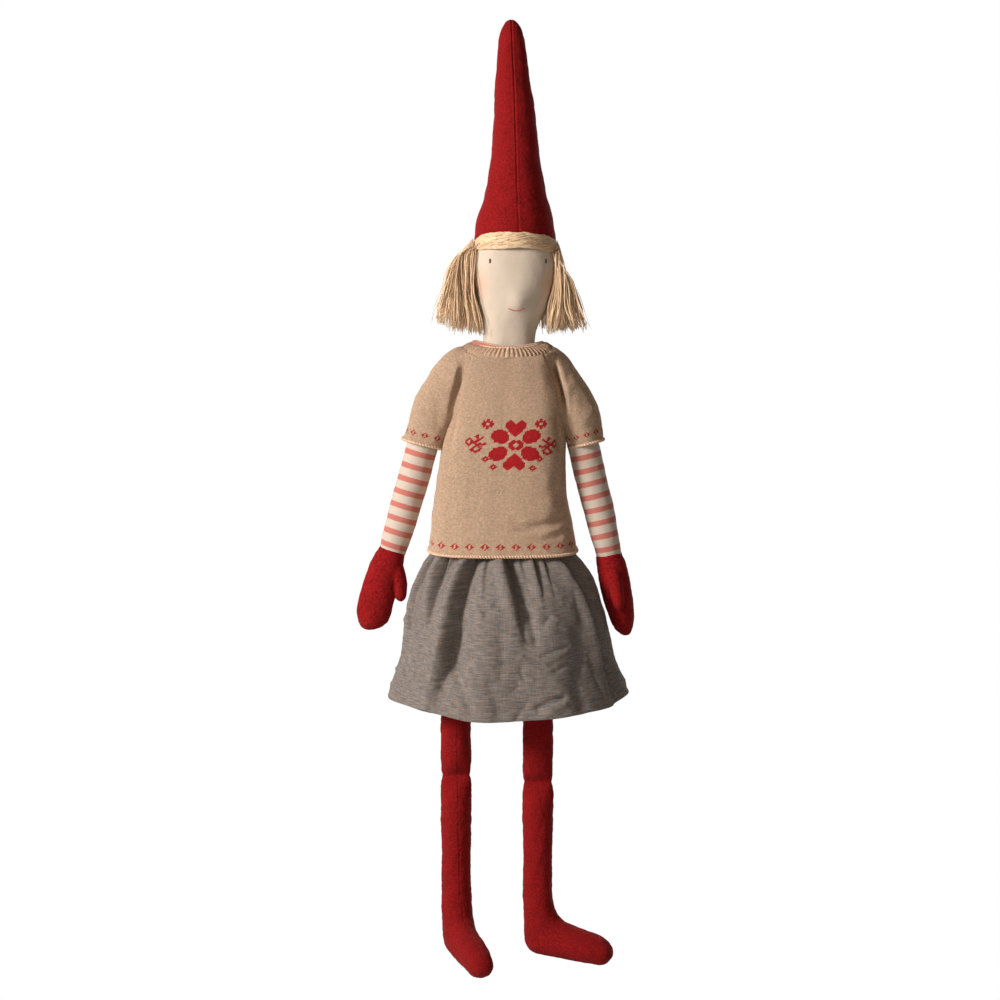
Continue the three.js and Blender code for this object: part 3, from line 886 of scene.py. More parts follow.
def wool_material():
    """Red wool, woven along the piece's own cloth."""
    m = Cloth("red wool")
    count = 0.01 / sizes().thread
    weave = m.use("Plain weave", {"Threads": m.uv((count, count, 1)), "Slub": 0.6})
    tone = m.use("Handled cloth", {"Where": m.uv(), "Size": 0.55})["Tone"]
    grain = m.noise(m.uv(), 4.8, 3.0, 0.75)
    fuzz = m.noise(m.uv(), 34.0, 4.0, 0.7)
    return wool_finish(m, weave, tone, grain, fuzz)


def mitten_material():
    """The red wool again, woven on the mitten's own width and height."""
    m = Cloth("red wool mitten")
    count = 1 / sizes().thread
    flat = m.add("ShaderNodeSeparateXYZ", {"Vector": m.object((count, count, count))}).outputs
    across = m.math("ADD", flat["X"], m.math("MULTIPLY", flat["Y"], 0.6))
    threads = m.add("ShaderNodeCombineXYZ", {"X": across, "Y": flat["Z"]}).outputs["Vector"]
    weave = m.use("Plain weave", {"Threads": threads, "Slub": 0.6})
    tone = m.use("Handled cloth", {"Where": m.object(), "Size": 60.0})["Tone"]
    grain = m.noise(m.object(), 480.0, 3.0, 0.75)
    fuzz = m.noise(m.object(), 3400.0, 4.0, 0.7)
    return wool_finish(m, weave, tone, grain, fuzz)


def muslin_material():
    """Cream cotton, with a soft round of blush on each cheek."""
    m = Cloth("muslin")
    c = colours()
    weave = m.use("Plain weave", {"Threads": m.uv((22, 22, 1)), "Slub": 0.4})
    tone = m.use("Handled cloth", {"Where": m.uv(), "Size": 0.5})["Tone"]
    base = m.mix(m.math("MULTIPLY", weave["Shade"], 0.35), rgb(c.muslin), rgb(c.muslin, 0.9))
    base = m.mix(m.math("MULTIPLY", tone, 0.18), base, rgb(c.muslin, 0.86))
    reach = (1 / 0.015, 1 / 0.021, 1 / 0.019)
    for cheek in ((-0.0190, -0.0215, 0.373), (0.0585, -0.0205, 0.372)):
        centre = [-p * s for p, s in zip(cheek, reach)]
        ball = m.add("ShaderNodeVectorMath", {0: m.object(reach, centre)}, operation="LENGTH")
        fade = m.stretch(ball.outputs["Value"], 0.1, 1.15, 0.62, 0.0)
        base = m.mix(fade, base, rgb(c.blush))
    normal = m.bump(weave["Height"], 0.0001, 0.6, m.bump(tone, 0.0009, 0.35))
    rough = m.stretch(weave["Shade"], 0, 1, 0.78, 0.9)
    return m.finish(base, rough, normal, sheen=0.12, specular=0.2)


def jersey_material():
    """Fine cotton jersey; its stripes follow the cloth's length."""
    m = Cloth("striped jersey")
    c = colours()
    pitch = sizes().stripe / 0.01
    split = m.add("ShaderNodeSeparateXYZ", {"Vector": m.uv()}).outputs
    wander = m.math("MULTIPLY", m.math("SUBTRACT", m.noise(m.uv(), 1.1, 1.0), 0.5), 0.05)
    turn = m.math("FRACT", m.math("ADD", m.math("DIVIDE", split["Y"], pitch), wander))
    edge = m.math("ABSOLUTE", m.math("SUBTRACT", turn, 0.5))
    red = m.stretch(edge, 0.190, 0.214, 1.0, 0.0)
    knit = m.use("Stocking stitch", {"Stitches": m.uv((11, 15, 1))})
    tone = m.use("Handled cloth", {"Where": m.uv(), "Size": 0.8})["Tone"]
    fleck = m.noise(m.uv((14, 20, 1)), 1.0, 3.0, 0.7)
    pale = m.mix(m.math("MULTIPLY", fleck, 0.8), rgb(c.stripe), rgb(c.stripe, 1.35, 0.07))
    ground = m.mix(m.math("MULTIPLY", tone, 0.2), rgb(c.cream), rgb(c.cream, 0.84))
    base = m.mix(red, ground, pale)
    # Painted shade: the jersey is darkened towards brown where its stitches dip between the loops.
    loops = m.stretch(knit["Shade"], 0.0, 1.0, 0.26, 0.0)
    base = m.mix(loops, base, (0.30, 0.20, 0.15, 1))
    normal = m.bump(knit["Height"], 0.00018, 0.6, m.bump(tone, 0.0009, 0.3))
    rough = m.stretch(fleck, 0.2, 0.8, 0.8, 0.95)
    return m.finish(base, rough, normal, sheen=0.12, specular=0.2)


def knit_material():
    """Tan stocking stitch; the red pattern is an attribute with one value to a stitch."""
    m = Cloth("knitting")
    c = colours()
    node = m.add("ShaderNodeTexCoord")
    mapping = {"Vector": node.outputs["UV"], "Location": (0.5, 0.5, 0)}
    stitches = m.add("ShaderNodeMapping", mapping).outputs["Vector"]
    knit = m.use("Stocking stitch", {"Stitches": stitches})
    tone = m.use("Handled cloth", {"Where": stitches, "Size": 0.06})["Tone"]
    fleck = m.noise(stitches, 0.62, 2.0, 0.7)
    wale = m.noise(m.uv((0.55, 0.06, 1)), 1.0, 2.0)
    whole = m.add("ShaderNodeVectorMath", {0: stitches}, operation="FLOOR").outputs["Vector"]
    own = m.add("ShaderNodeTexWhiteNoise", {"Vector": whole}).outputs["Value"]
    # Painted shade: the tan yarn is darker where the stitches dip and lighter on their tops.
    tan = m.mix(m.stretch(knit["Shade"], 0.0, 0.62), rgb(c.knit, 0.40), rgb(c.knit))
    tan = m.mix(m.math("MULTIPLY", own, 0.46), tan, rgb(c.knit, 0.36))
    tan = m.mix(m.stretch(fleck, 0.38, 0.58, 0.50, 0.0), tan, rgb(c.knit, 0.42))
    tan = m.mix(m.stretch(wale, 0.38, 0.60, 0.26, 0.0), tan, rgb(c.knit, 0.55))
    tan = m.mix(m.math("MULTIPLY", tone, 0.18), tan, rgb(c.knit, 0.78))
    # Painted shade on the red stitches too, darker where they dip.
    red = m.mix(m.stretch(knit["Shade"], 0.0, 0.7), rgb(c.pattern, 0.45), rgb(c.pattern))
    red = m.mix(m.math("MULTIPLY", own, 0.36), red, rgb(c.pattern, 0.36))
    ragged = m.math("MULTIPLY", m.math("SUBTRACT", knit["Height"], 0.6), 0.22)
    worked = m.math("ADD", m.attribute("pattern"), ragged)
    base = m.mix(m.stretch(worked, 0.44, 0.54), tan, red)
    normal = m.bump(knit["Height"], 0.0009, 0.9, m.bump(fleck, 0.0016, 0.7))
    rough = m.stretch(fleck, 0.2, 0.8, 0.84, 0.98)
    return m.finish(base, rough, normal, sheen=0.12, sheen_tint=(1, 0.84, 0.68), specular=0.08)


def rope_material():
    """Tan yarn of the cast-off edges."""
    m = Cloth("knitted edge")
    c = colours()
    ply = m.stretch(m.noise(m.object((700, 700, 700)), 1.0, 2.0, 0.6), 0.3, 0.7)
    base = m.mix(ply, rgb(c.knit, 0.45), rgb(c.knit, 0.95))
    normal = m.bump(ply, 0.0004, 0.6)
    rough = m.stretch(ply, 0.2, 0.8, 0.84, 0.98)
    return m.finish(base, rough, normal, sheen=0.2, specular=0.12)


def linen_material():
    """Slubby linen woven from dark, pale, bluish and rusty threads."""
    m = Cloth("slubby linen")
    c = colours()
    weave = m.use("Plain weave", {"Threads": m.uv((11, 11, 1)), "Slub": 1.4})
    long_weft = m.noise(m.uv((0.8, 6.4, 1)), 1.0, 3.0, 0.72)
    long_warp = m.noise(m.uv((8.5, 0.7, 1)), 1.0, 3.0, 0.7)
    weft_share = m.math("MULTIPLY", m.stretch(long_weft, 0.38, 0.62), 0.50)
    warp_share = m.math("MULTIPLY", m.stretch(long_warp, 0.36, 0.64), 0.24)
    share = m.math("ADD", weft_share, warp_share)
    grain = m.stretch(m.noise(m.uv((9, 14, 1)), 1.0, 2.0), 0.35, 0.65)
    share = m.math("ADD", share, m.math("MULTIPLY", grain, 0.20))
    share = m.math("ADD", share, m.math("MULTIPLY", weave["Shade"], 0.16), clamp=True)
    base = m.mix(share, rgb(c.linen_dark), rgb(c.linen_light))
    blue = m.stretch(m.noise(m.uv((0.6, 9.5, 3)), 1.0, 2.0), 0.55, 0.63)
    rust = m.stretch(m.noise(m.uv((1.2, 10.5, 7)), 1.0, 2.0), 0.54, 0.62)
    base = m.mix(m.math("MULTIPLY", blue, 0.40), base, (0.060, 0.075, 0.115, 1))
    base = m.mix(m.math("MULTIPLY", rust, 0.50), base, (0.340, 0.170, 0.085, 1))
    normal = m.bump(weave["Height"], 0.00024, 0.9, m.bump(long_weft, 0.0005, 0.5))
    rough = m.stretch(share, 0, 1, 0.94, 0.78)
    return m.finish(base, rough, normal, sheen=0.06, specular=0.18)


def flax_material():
    """Blond hair, each strand with its own shade."""
    m = Cloth("flax hair")
    c = colours()
    strand = m.attribute("strand")
    fibre = m.noise(m.object((260, 260, 60)), 1.0, 3.0, 0.6)
    own_share = m.math("MULTIPLY", strand, 0.5)
    share = m.math("ADD", own_share, m.math("MULTIPLY", fibre, 0.55), clamp=True)
    base = m.mix(share, rgb(c.flax, 0.66), rgb(c.flax, 1.18))
    normal = m.bump(fibre, 0.0003, 0.5)
    rough = m.stretch(strand, 0, 1, 0.5, 0.72)
    return m.finish(base, rough, normal, sheen=0.1, specular=0.35)


def thread_material(name, tint):
    """Twisted embroidery thread."""
    m = Cloth(name)
    twist = m.noise(m.object((1400, 1400, 2600)), 1.0, 2.0)
    base = m.mix(twist, rgb(tint, 0.6), rgb(tint, 1.5))
    normal = m.bump(twist, 0.0002, 0.6)
    rough = m.stretch(twist, 0.2, 0.8, 0.45, 0.65)
    return m.finish(base, rough, normal, specular=0.4)


def tape_material(name, tint):
    """Woven cotton tape or elastic, ribbed across."""
    m = Cloth(name)
    ribs = m.noise(m.object((500, 500, 1500)), 1.0, 2.0)
    base = m.mix(ribs, rgb(tint, 0.78), rgb(tint))
    normal = m.bump(ribs, 0.0003, 0.5)
    rough = m.stretch(ribs, 0.2, 0.8, 0.75, 0.9)
    return m.finish(base, rough, normal, specular=0.2)


# ---- the pattern charts: # is a red stitch -------------------------------------------------
CHARTS = {
    "heart": """
..##.....##..
.####...####.
######.######
#############
#############
#############
.###########.
..#########..
..#########..
...#######...
....#####....
.....###.....
......#......
""",
    "petal": """
...####....
.########..
.#########.
##########.
###########
###########
###########
.##########
..#########
..########.
.....####..
""",
    "bloom": """
..##.##..
.#######.
####.####
###...###
###...###
####.####
.#######.
..##.##..
""",
    "star": """
...##...
.#.##.#.
.######.
###..###
###..###
.######.
.#.##.#.
...##...
""",
    "sprig": """
......##.....
.....###..#..
..#...##.##..
.###...###...
##.##.###....
#..#####.....
##.####.##.##
.###..#######
..#...###.#..
.....##.##...
....##...##..
...###..##...
....######...
......##.....
""",
    "bud": """
..#..
.###.
##.##
.###.
..#..
""",
    "edging": """
...#....
..#.#...
.##.##..
..#.#...
...#....
""",
}


def chart(name, mirrored=False, upside_down=False):
    rows = [[mark == "#" for mark in row] for row in CHARTS[name].split()]
    if mirrored:
        rows = [row[::-1] for row in rows]
    return np.array(rows if upside_down else rows[::-1])


def stamp(stitches, pattern, column, row):
    """Works a chart into the stitches, with its lower left stitch at that column and row."""
    for i, marks in enumerate(pattern):
        for j, red in enumerate(marks):
            if red:
                stitches[row + i, (column + j) % stitches.shape[1]] = True


# Each part of the rosette, by its lower left stitch counted from the rosette's middle.
ROSETTE = [
    ("heart", False, False, -7, 6),
    ("heart", False, True, -6, -19),
    ("petal", False, False, -15, 1),
    ("petal", True, False, 4, 1),
    ("petal", False, True, -15, -12),
    ("petal", True, True, 4, -12),
    ("bloom", False, False, -4, -4),
    ("star", False, False, -22, 12),
    ("star", True, False, 11, 12),
    ("sprig", False, False, -30, -6),
    ("sprig", True, False, 14, -8),
    ("bud", False, False, -19, -13),
    ("bud", False, False, -14, -19),
    ("bud", True, False, 13, -13),
    ("bud", True, False, 9, -20),
]


def knitted_tube(name, around, rows, place):
    """A tube of knitting, with one point and one unit of its UV map to a stitch."""
    return cloth_tube(name, around, rows, place, around, rows, even=True)


def edged_stitches(around, rows, row, upside_down=False):
    """A blank grid of stitches with the small edging worked round it, up from a row."""
    stitches = np.zeros((rows, around), bool)
    edging = chart("edging", upside_down=upside_down)
    for column in range(0, around, edging.shape[1]):
        stamp(stitches, edging, column, row)
    return stitches


def work_pattern(piece, stitches):
    """Stores one value to a stitch: each point of the knitted grid is a stitch's middle."""
    rows, around = stitches.shape
    mesh = piece.data
    uv = np.empty(len(mesh.loops) * 2)
    mesh.uv_layers[0].data.foreach_get("uv", uv)
    uv = np.rint(uv.reshape(-1, 2)).astype(int)
    owner = np.empty(len(mesh.loops), int)
    mesh.loops.foreach_get("vertex_index", owner)
    values = np.zeros(len(mesh.vertices), np.float32)
    values[owner] = stitches[np.clip(uv[:, 1], 0, rows - 1), uv[:, 0] % around]
    mesh.attributes.new("pattern", "FLOAT", "POINT").data.foreach_set("value", values)


# ---- pieces -------------------------------------------------------------------------------
class MakeHead(bpy.types.Operator):
    """Sews the muslin head with its front seam and nose"""

    bl_idname = "tomte.head"
    bl_label = "Head"

    def execute(self, context):
        base = level_loft(HEAD, HEAD_SQUARENESS)

        def place(u, v):
            points = base(u, v)
            ridge = along_height(NOSE, points[:, 2])
            off = (points[:, 0] - ridge[:, 1]) / ridge[:, 3]
            front = points[:, 1] < 0
            wide = 0.55 * hill(off / 1.9) + 0.45 * np.exp(-(off**2) * 1.3)
            points[:, 1] -= np.where(front, ridge[:, 2] * wide, 0)
            return points

        head = cloth_tube("sewn_head", 160, 150, place)
        seam = [(x, -60, z) for z, x, _, _ in NOSE if z > 350]
        surface_press(head, seam, 0.8, 0.22)
        back = [(20, 60, z) for z in range(318, 430, 10)]
        surface_press(head, back, 0.9, 0.5)
        lump(head, 34, 0.35, 11)
        dress(head, muslin_material(), "head")
        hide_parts("head_cover", "head_stuffing")
        return {"FINISHED"}


def along_height(rows, height):
    """A table's columns read off at given heights, where its first column is the height."""
    rows = np.array(rows, float)
    return np.column_stack(
        [height] + [np.interp(height, rows[:, 0], rows[:, k]) for k in range(1, rows.shape[1])]
    )


def surface_press(piece, path, width, depth):
    """Presses a line that is given by its x and z, on the side of the piece that its y is on."""
    points = points_of(piece) / MM
    path = np.array(path, float)
    side = np.sign(path[0, 1])
    flat = points.copy()
    flat[:, 1] = path[0, 1]
    away, _ = far_from_path(flat, path)
    push = depth * hill(away / width) * (points[:, 1] * side > 0)
    put_points(piece, (points - normals_of(piece) * push[:, None]) * MM)


def raise_beside(piece, seam, off, width, height):
    """Raises a low ridge on each side of a seam."""
    for dx in (-off, off):
        surface_press(piece, [(x + dx, y, z) for x, y, z in seam], width, -height)


def front_of(piece, x, z):
    """How far forward the piece's front is, near a place given by x and z."""
    points = points_of(piece) / MM
    away = np.hypot(points[:, 0] - x, points[:, 2] - z)
    away[points[:, 1] > 0] = np.inf
    near = np.argsort(away)[:4]
    return points[near, 1].mean()


class StitchFace(bpy.types.Operator):
    """Embroiders two upright eyes and a small smile"""

    bl_idname = "tomte.face"
    bl_label = "Face"

    def execute(self, context):
        head = bpy.data.objects["sewn_head"]
        for side, x in (("right", -7.3), ("left", 53.4)):
            routes = self.eye_threads(head, x)
            eye = bundle(f"{side}_stitched_eye", routes, [0.34] * len(routes), 6)
            thread = thread_material(f"{side} eye thread", colours().eye)
            dress(eye, thread, "head")
            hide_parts(f"{side}_eye")
        routes = self.mouth_threads(head)
        mouth = bundle("stitched_mouth", routes, [0.42] * len(routes), 6)
        dress(mouth, thread_material("mouth thread", colours().mouth), "head")
        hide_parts("mouth")
        return {"FINISHED"}

    def eye_threads(self, head, x):
        """Five upright stitches side by side, the middle one longest."""
        routes = []
        for k in range(5):
            dx = (k - 2) * 0.34
            top, low = 400.1 - abs(dx) * 0.7, 394.7 + abs(dx) * 0.9
            heights = np.linspace(top, low, 7)
            bulge = np.sin(np.linspace(0, np.pi, 7)) * 0.5
            routes.append([
                (x + dx, front_of(head, x + dx, z) + 0.15 - b, z) for z, b in zip(heights, bulge)
            ])
        return routes

    def mouth_threads(self, head):
        """Six back stitches end to end, along a shallow smile."""
        rng = np.random.default_rng(5)
        routes = []
        xs = np.linspace(12.6, 29.4, 7)
        for start, end in zip(xs[:-1], xs[1:]):
            steps = np.linspace(start - 0.5, end + 0.5, 6)
            curve = 343.8 + ((steps - 21.0) / 8.4) ** 2 * 2.6
            lift = np.sin(np.linspace(0.3, np.pi - 0.3, 6)) * 0.35
            routes.append([
                (x, front_of(head, x, z) + 0.05 - b, z + 0.12 * rng.normal())
                for x, z, b in zip(steps, curve, lift)
            ])
        return routes


class MakeHat(bpy.types.Operator):
    """Sews the tall stuffed hat, with its front seam and a turned edge that arches over the brow"""

    bl_idname = "tomte.hat"
    bl_label = "Hat"

    def execute(self, context):
        base = level_loft(HAT, turn=0.25)

        def place(u, v):
            points = base(u, v)
            near_rim = ramp(points[:, 2], 455, 417) ** 1.5
            front = np.clip(-points[:, 1] / 44, -0.4, 1)
            left = np.clip((points[:, 0] - 12) / 50, -1, 1)
            points[:, 2] += near_rim * (8.6 * front - 4.2 * np.clip(left, 0, 1) + 0.6)
            return points

        hat = cloth_tube("sewn_hat", 260, 240, place)
        seam = [
            (24.5, -50, 418), (23, -50, 450), (22, -50, 480), (21, -50, 520),
            (19.6, -50, 570), (17.4, -50, 620), (15.8, -50, 660),
        ]
        surface_press(hat, seam, 0.75, 0.75)
        raise_beside(hat, seam, 1.7, 1.1, 0.25)
        back = [(20, 50, 420), (20.4, 50, 480), (20, 50, 540), (17, 50, 610), (15.6, 50, 655)]
        surface_press(hat, back, 1.0, 0.8)
        for path, width, depth in (
            ([(8, -40, 452), (17, -38, 456), (24, -38, 452)], 3.0, 0.9),
            ([(24, -40, 462), (33, -33, 458), (40, -26, 462)], 3.4, 0.9),
            ([(2, -30, 478), (10, -32, 482), (18, -34, 480)], 3.0, 0.7),
            ([(30, -20, 600), (24, -18, 604), (17, -16, 602)], 3.0, 0.5),
        ):
            press(hat, path, width, depth)
        lump(hat, 46, 0.5, 21)
        lump(hat, 14, 0.22, 22)
        turn_edge(hat, 2.2)
        dress(hat, wool_material(), "head")
        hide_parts("hat", "hat_stuffing")
        return {"FINISHED"}


def turn_edge(piece, width):
    """Turns the open edge under itself: out a little, down, and back up inside."""
    deselect()
    bpy.context.view_layer.objects.active = piece
    bpy.ops.object.mode_set(mode="EDIT")
    bpy.ops.mesh.select_all(action="DESELECT")
    bpy.ops.mesh.select_mode(type="EDGE")
    bpy.ops.mesh.select_non_manifold(extend=False)
    for rise, shrink in ((-0.55, 0.985), (0.1, 0.96), (width, 0.985)):
        step = (0, 0, rise * MM)
        bpy.ops.mesh.extrude_region_move(TRANSFORM_OT_translate={"value": step})
        middle = edge_middle(piece)
        bpy.ops.transform.resize(value=(shrink, shrink, 1), center_override=middle)
    bpy.ops.object.mode_set(mode="OBJECT")
    bpy.ops.object.shade_smooth()


def edge_middle(piece):
    piece.update_from_editmode()
    chosen = [v.co for v in piece.data.vertices if v.select]
    return tuple(sum(chosen, Vector()) / len(chosen))


class MakeHair(bpy.types.Operator):
    """Lays the flax hair: a band over the brow, a bunch at each temple, and a curtain behind"""

    bl_idname = "tomte.hair"
    bl_label = "Hair"

    def execute(self, context):
        material = flax_material()
        radius = sizes().strand / MM
        for side in SIDES:
            routes, radii = bunch_routes(side, sizes().strands, radius)
            bunch = bundle(f"{side}_hair_bunch", routes, radii)
            dress(bunch, material, "head")
            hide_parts(f"hair_{side}")
        routes, radii = curtain_routes(radius)
        curtain = bundle("back_hair", routes, radii)
        dress(curtain, material, "head")
        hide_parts("hair_back")
        routes, radii = brow_routes(radius)
        brow = bundle("brow_hair", routes, radii)
        dress(brow, material, "head")
        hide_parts("fringe")
        return {"FINISHED"}


# Where each bunch is tied and its highest strand bends, then, each from the bunch's inner edge to
# its outer one, the x at half height, the x and z of the ends, and the drop of its crown.
BUNCHES = {
    "right": {
        "tie": (-24.5, -14, 416), "crown": -46, "drop": 12,
        "middle": (-26, -56), "ends": (-16, -65), "low": (321, 334),
    },
    "left": {
        "tie": (64.5, -12, 413), "crown": 70, "drop": 17,
        "middle": (63, 82), "ends": (55, 97), "low": (324, 327),
    },
}
LOCKS, STRAYS = 26, 14


def between(pair, share):
    return pair[0] + (pair[1] - pair[0]) * share


def bunch_routes(side, count, radius):
    """Strands tied at the temple, which fan out in locks and hang."""
    shape = BUNCHES[side]
    rng = np.random.default_rng(by_side(side, 31, 37))
    out = FACING[side]
    routes, radii = [], []
    locks = rng.uniform(0, 1, LOCKS)
    down = np.linspace(0, 1, 12)
    for k in range(count):
        lock = k % LOCKS
        fan = np.clip(locks[lock] + rng.normal(0, 0.035), 0, 1)
        deep = rng.normal(0, 0.42)
        phase = lock * 1.7
        tie = np.array(shape["tie"]) + rng.normal(0, 1, 3) * (1.6, 3.0, 2.6)
        crown_x = tie[0] + (shape["crown"] - shape["tie"][0]) * fan
        crown_z = 411 + 4 * (1 - abs(2 * fan - 1)) - shape["drop"] * fan
        crown = (crown_x, -10 + 13 * deep, crown_z)
        middle_x = between(shape["middle"], fan) + 1.2 * math.sin(phase)
        middle = (middle_x, -10 + 20 * deep, 374 + rng.normal(0, 2))
        low = between(shape["low"], fan**1.6) + rng.normal(0, 2.6)
        ends_x = between(shape["ends"], fan) + 1.4 * math.sin(phase * 2)
        ends = np.array((ends_x, -8 + 24 * deep, low))
        near = np.array(middle) * 0.45 + ends * 0.55 + rng.normal(0, 1, 3) * (1.5, 1.5, 0)
        route = curve_through([tie, crown, middle, near, ends], len(down))
        sway = np.sin(down * 9 + phase) * down * 1.1
        route[:, 0] += sway * rng.uniform(0.5, 1.3) * out
        kink = rng.normal(0, 1, 2) * 0.5
        route[:, 0] += np.sin(down * 15 + k) * kink[0]
        route[:, 1] += np.sin(down * 13 + 2 * k) * kink[1]
        routes.append(route)
        radii.append(radius * rng.uniform(0.7, 1.25))
    for k in range(STRAYS):
        stray = routes[k * 17 % count].copy()
        stray[:, 0] += down**2 * out * rng.uniform(2, 7)
        stray[:, 1] -= down * rng.uniform(0, 6)
        routes.append(stray)
        radii.append(radius * 0.5)
    return routes, radii


def curtain_routes(radius):
    """Strands from under the hat's edge, round the back of the head."""
    rng = np.random.default_rng(41)
    routes, radii = [], []
    count = 520
    down = np.linspace(0, 1, 11)
    for k in range(count):
        turn = math.radians(-14 + 208 * (k + rng.uniform(0, 1)) / count)
        c, s = math.cos(turn), math.sin(turn)
        layer = rng.uniform(0, 1)
        top = (20.5 + (41 + 3 * layer) * c, (38 + 3 * layer) * s, 420 + rng.normal(0, 1.5))
        brow = (20 + (47 + 5 * layer) * c, (42 + 6 * layer) * s, 400)
        middle = (18 + (52 + 9 * layer) * c, (44 + 8 * layer) * s + 1, 368)
        low = 327 + rng.normal(0, 2.4)
        ends = (16 + (56 + 13 * layer) * c + rng.normal(0, 1.2), (43 + 9 * layer) * s + 2, low)
        route = curve_through([top, brow, middle, ends], len(down))
        sway = np.sin(down * 8 + (k // 9) * 1.3) * down
        route[:, 0] += sway * 1.1 * s
        route[:, 1] += sway * 0.8
        routes.append(route)
        radii.append(radius * rng.uniform(0.75, 1.3))
    return routes, radii


def brow_routes(radius):
    """Long strands, lightly twisted, from temple to temple under the hat's edge."""
    rng = np.random.default_rng(43)
    routes, radii = [], []
    share = np.linspace(0, 1, 24)
    for _ in range(240):
        ring = rng.uniform(0, 2 * np.pi)
        spread = math.sqrt(rng.uniform(0, 1))
        a0, a1 = rng.uniform(192, 200), rng.uniform(340, 350)
        if rng.uniform() < 0.3:
            a0 = rng.uniform(200, 250)
            a1 = a0 + rng.uniform(50, 100)
        turn = np.radians(a0 + (a1 - a0) * share)
        whole = (np.degrees(turn) - 196) / 148
        arch = np.sin(np.pi * np.clip(whole, 0, 1))
        swell = 0.55 + 0.45 * arch**0.6
        tangle = 0.9 * np.sin(share * 17 + ring * 3) + 0.7 * np.sin(share * 31 + ring * 7)
        lift = spread * 8.4 * swell * np.sin(ring + share * 2.2) + tangle
        out = 1.6 + spread * 2.8 * swell * (1 + np.cos(ring + share * 2.2)) * 0.6
        x = 20.6 + (44.6 + out) * np.cos(turn)
        y = (42.4 + out) * np.sin(turn)
        ridge = 1.2 * hill((x - 24.6) / 18) + 0.4 * np.sin(share * 23 + ring * 5)
        z = 415.2 + 5.4 * arch - 2.2 * whole + lift
        routes.append(np.column_stack([x, y - ridge, z + rng.normal(0, 0.12, len(share))]))
        radii.append(radius * rng.uniform(0.55, 0.95))
    return routes, radii


def start_stripe(piece, place):
    """Slides the jersey along its length until a red stripe is centred at a place."""
    mesh = piece.data
    away = np.linalg.norm(points_of(piece) / MM - place, axis=1)
    at = int(np.argmin(away))
    uv = np.empty(len(mesh.loops) * 2)
    mesh.uv_layers[0].data.foreach_get("uv", uv)
    uv = uv.reshape(-1, 2)
    loop = next(loop.index for loop in mesh.loops if loop.vertex_index == at)
    pitch = sizes().stripe / 0.01
    uv[:, 1] += pitch * (10.5 + math.floor(uv[loop, 1] / pitch)) - uv[loop, 1]
    mesh.uv_layers[0].data.foreach_set("uv", uv.ravel())


class MakeBody(bpy.types.Operator):
    """Sews the striped body whose top shows as a collar inside the sweater"""

    bl_idname = "tomte.body"
    bl_label = "Body"

    def execute(self, context):
        base = level_loft(TORSO)

        def place(u, v):
            points = base(u, v)
            off = points[:, 0] - 13
            rise = ramp(points[:, 2], 294, 303) * np.clip(np.abs(off) / 38, 0, 1) ** 2
            points[:, 0] += np.sign(off) * 4.5 * rise
            points[:, 2] += np.where(off < 0, 8.0, 5.4) * rise
            return points

        body = cloth_tube("striped_body", 96, 150, place)
        lump(body, 40, 0.6, 51)
        start_stripe(body, (13, -33, 301.9))
        dress(body, jersey_material(), "torso")
        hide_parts("torso_cover", "torso_stuffing", "neck_plug")
        return {"FINISHED"}


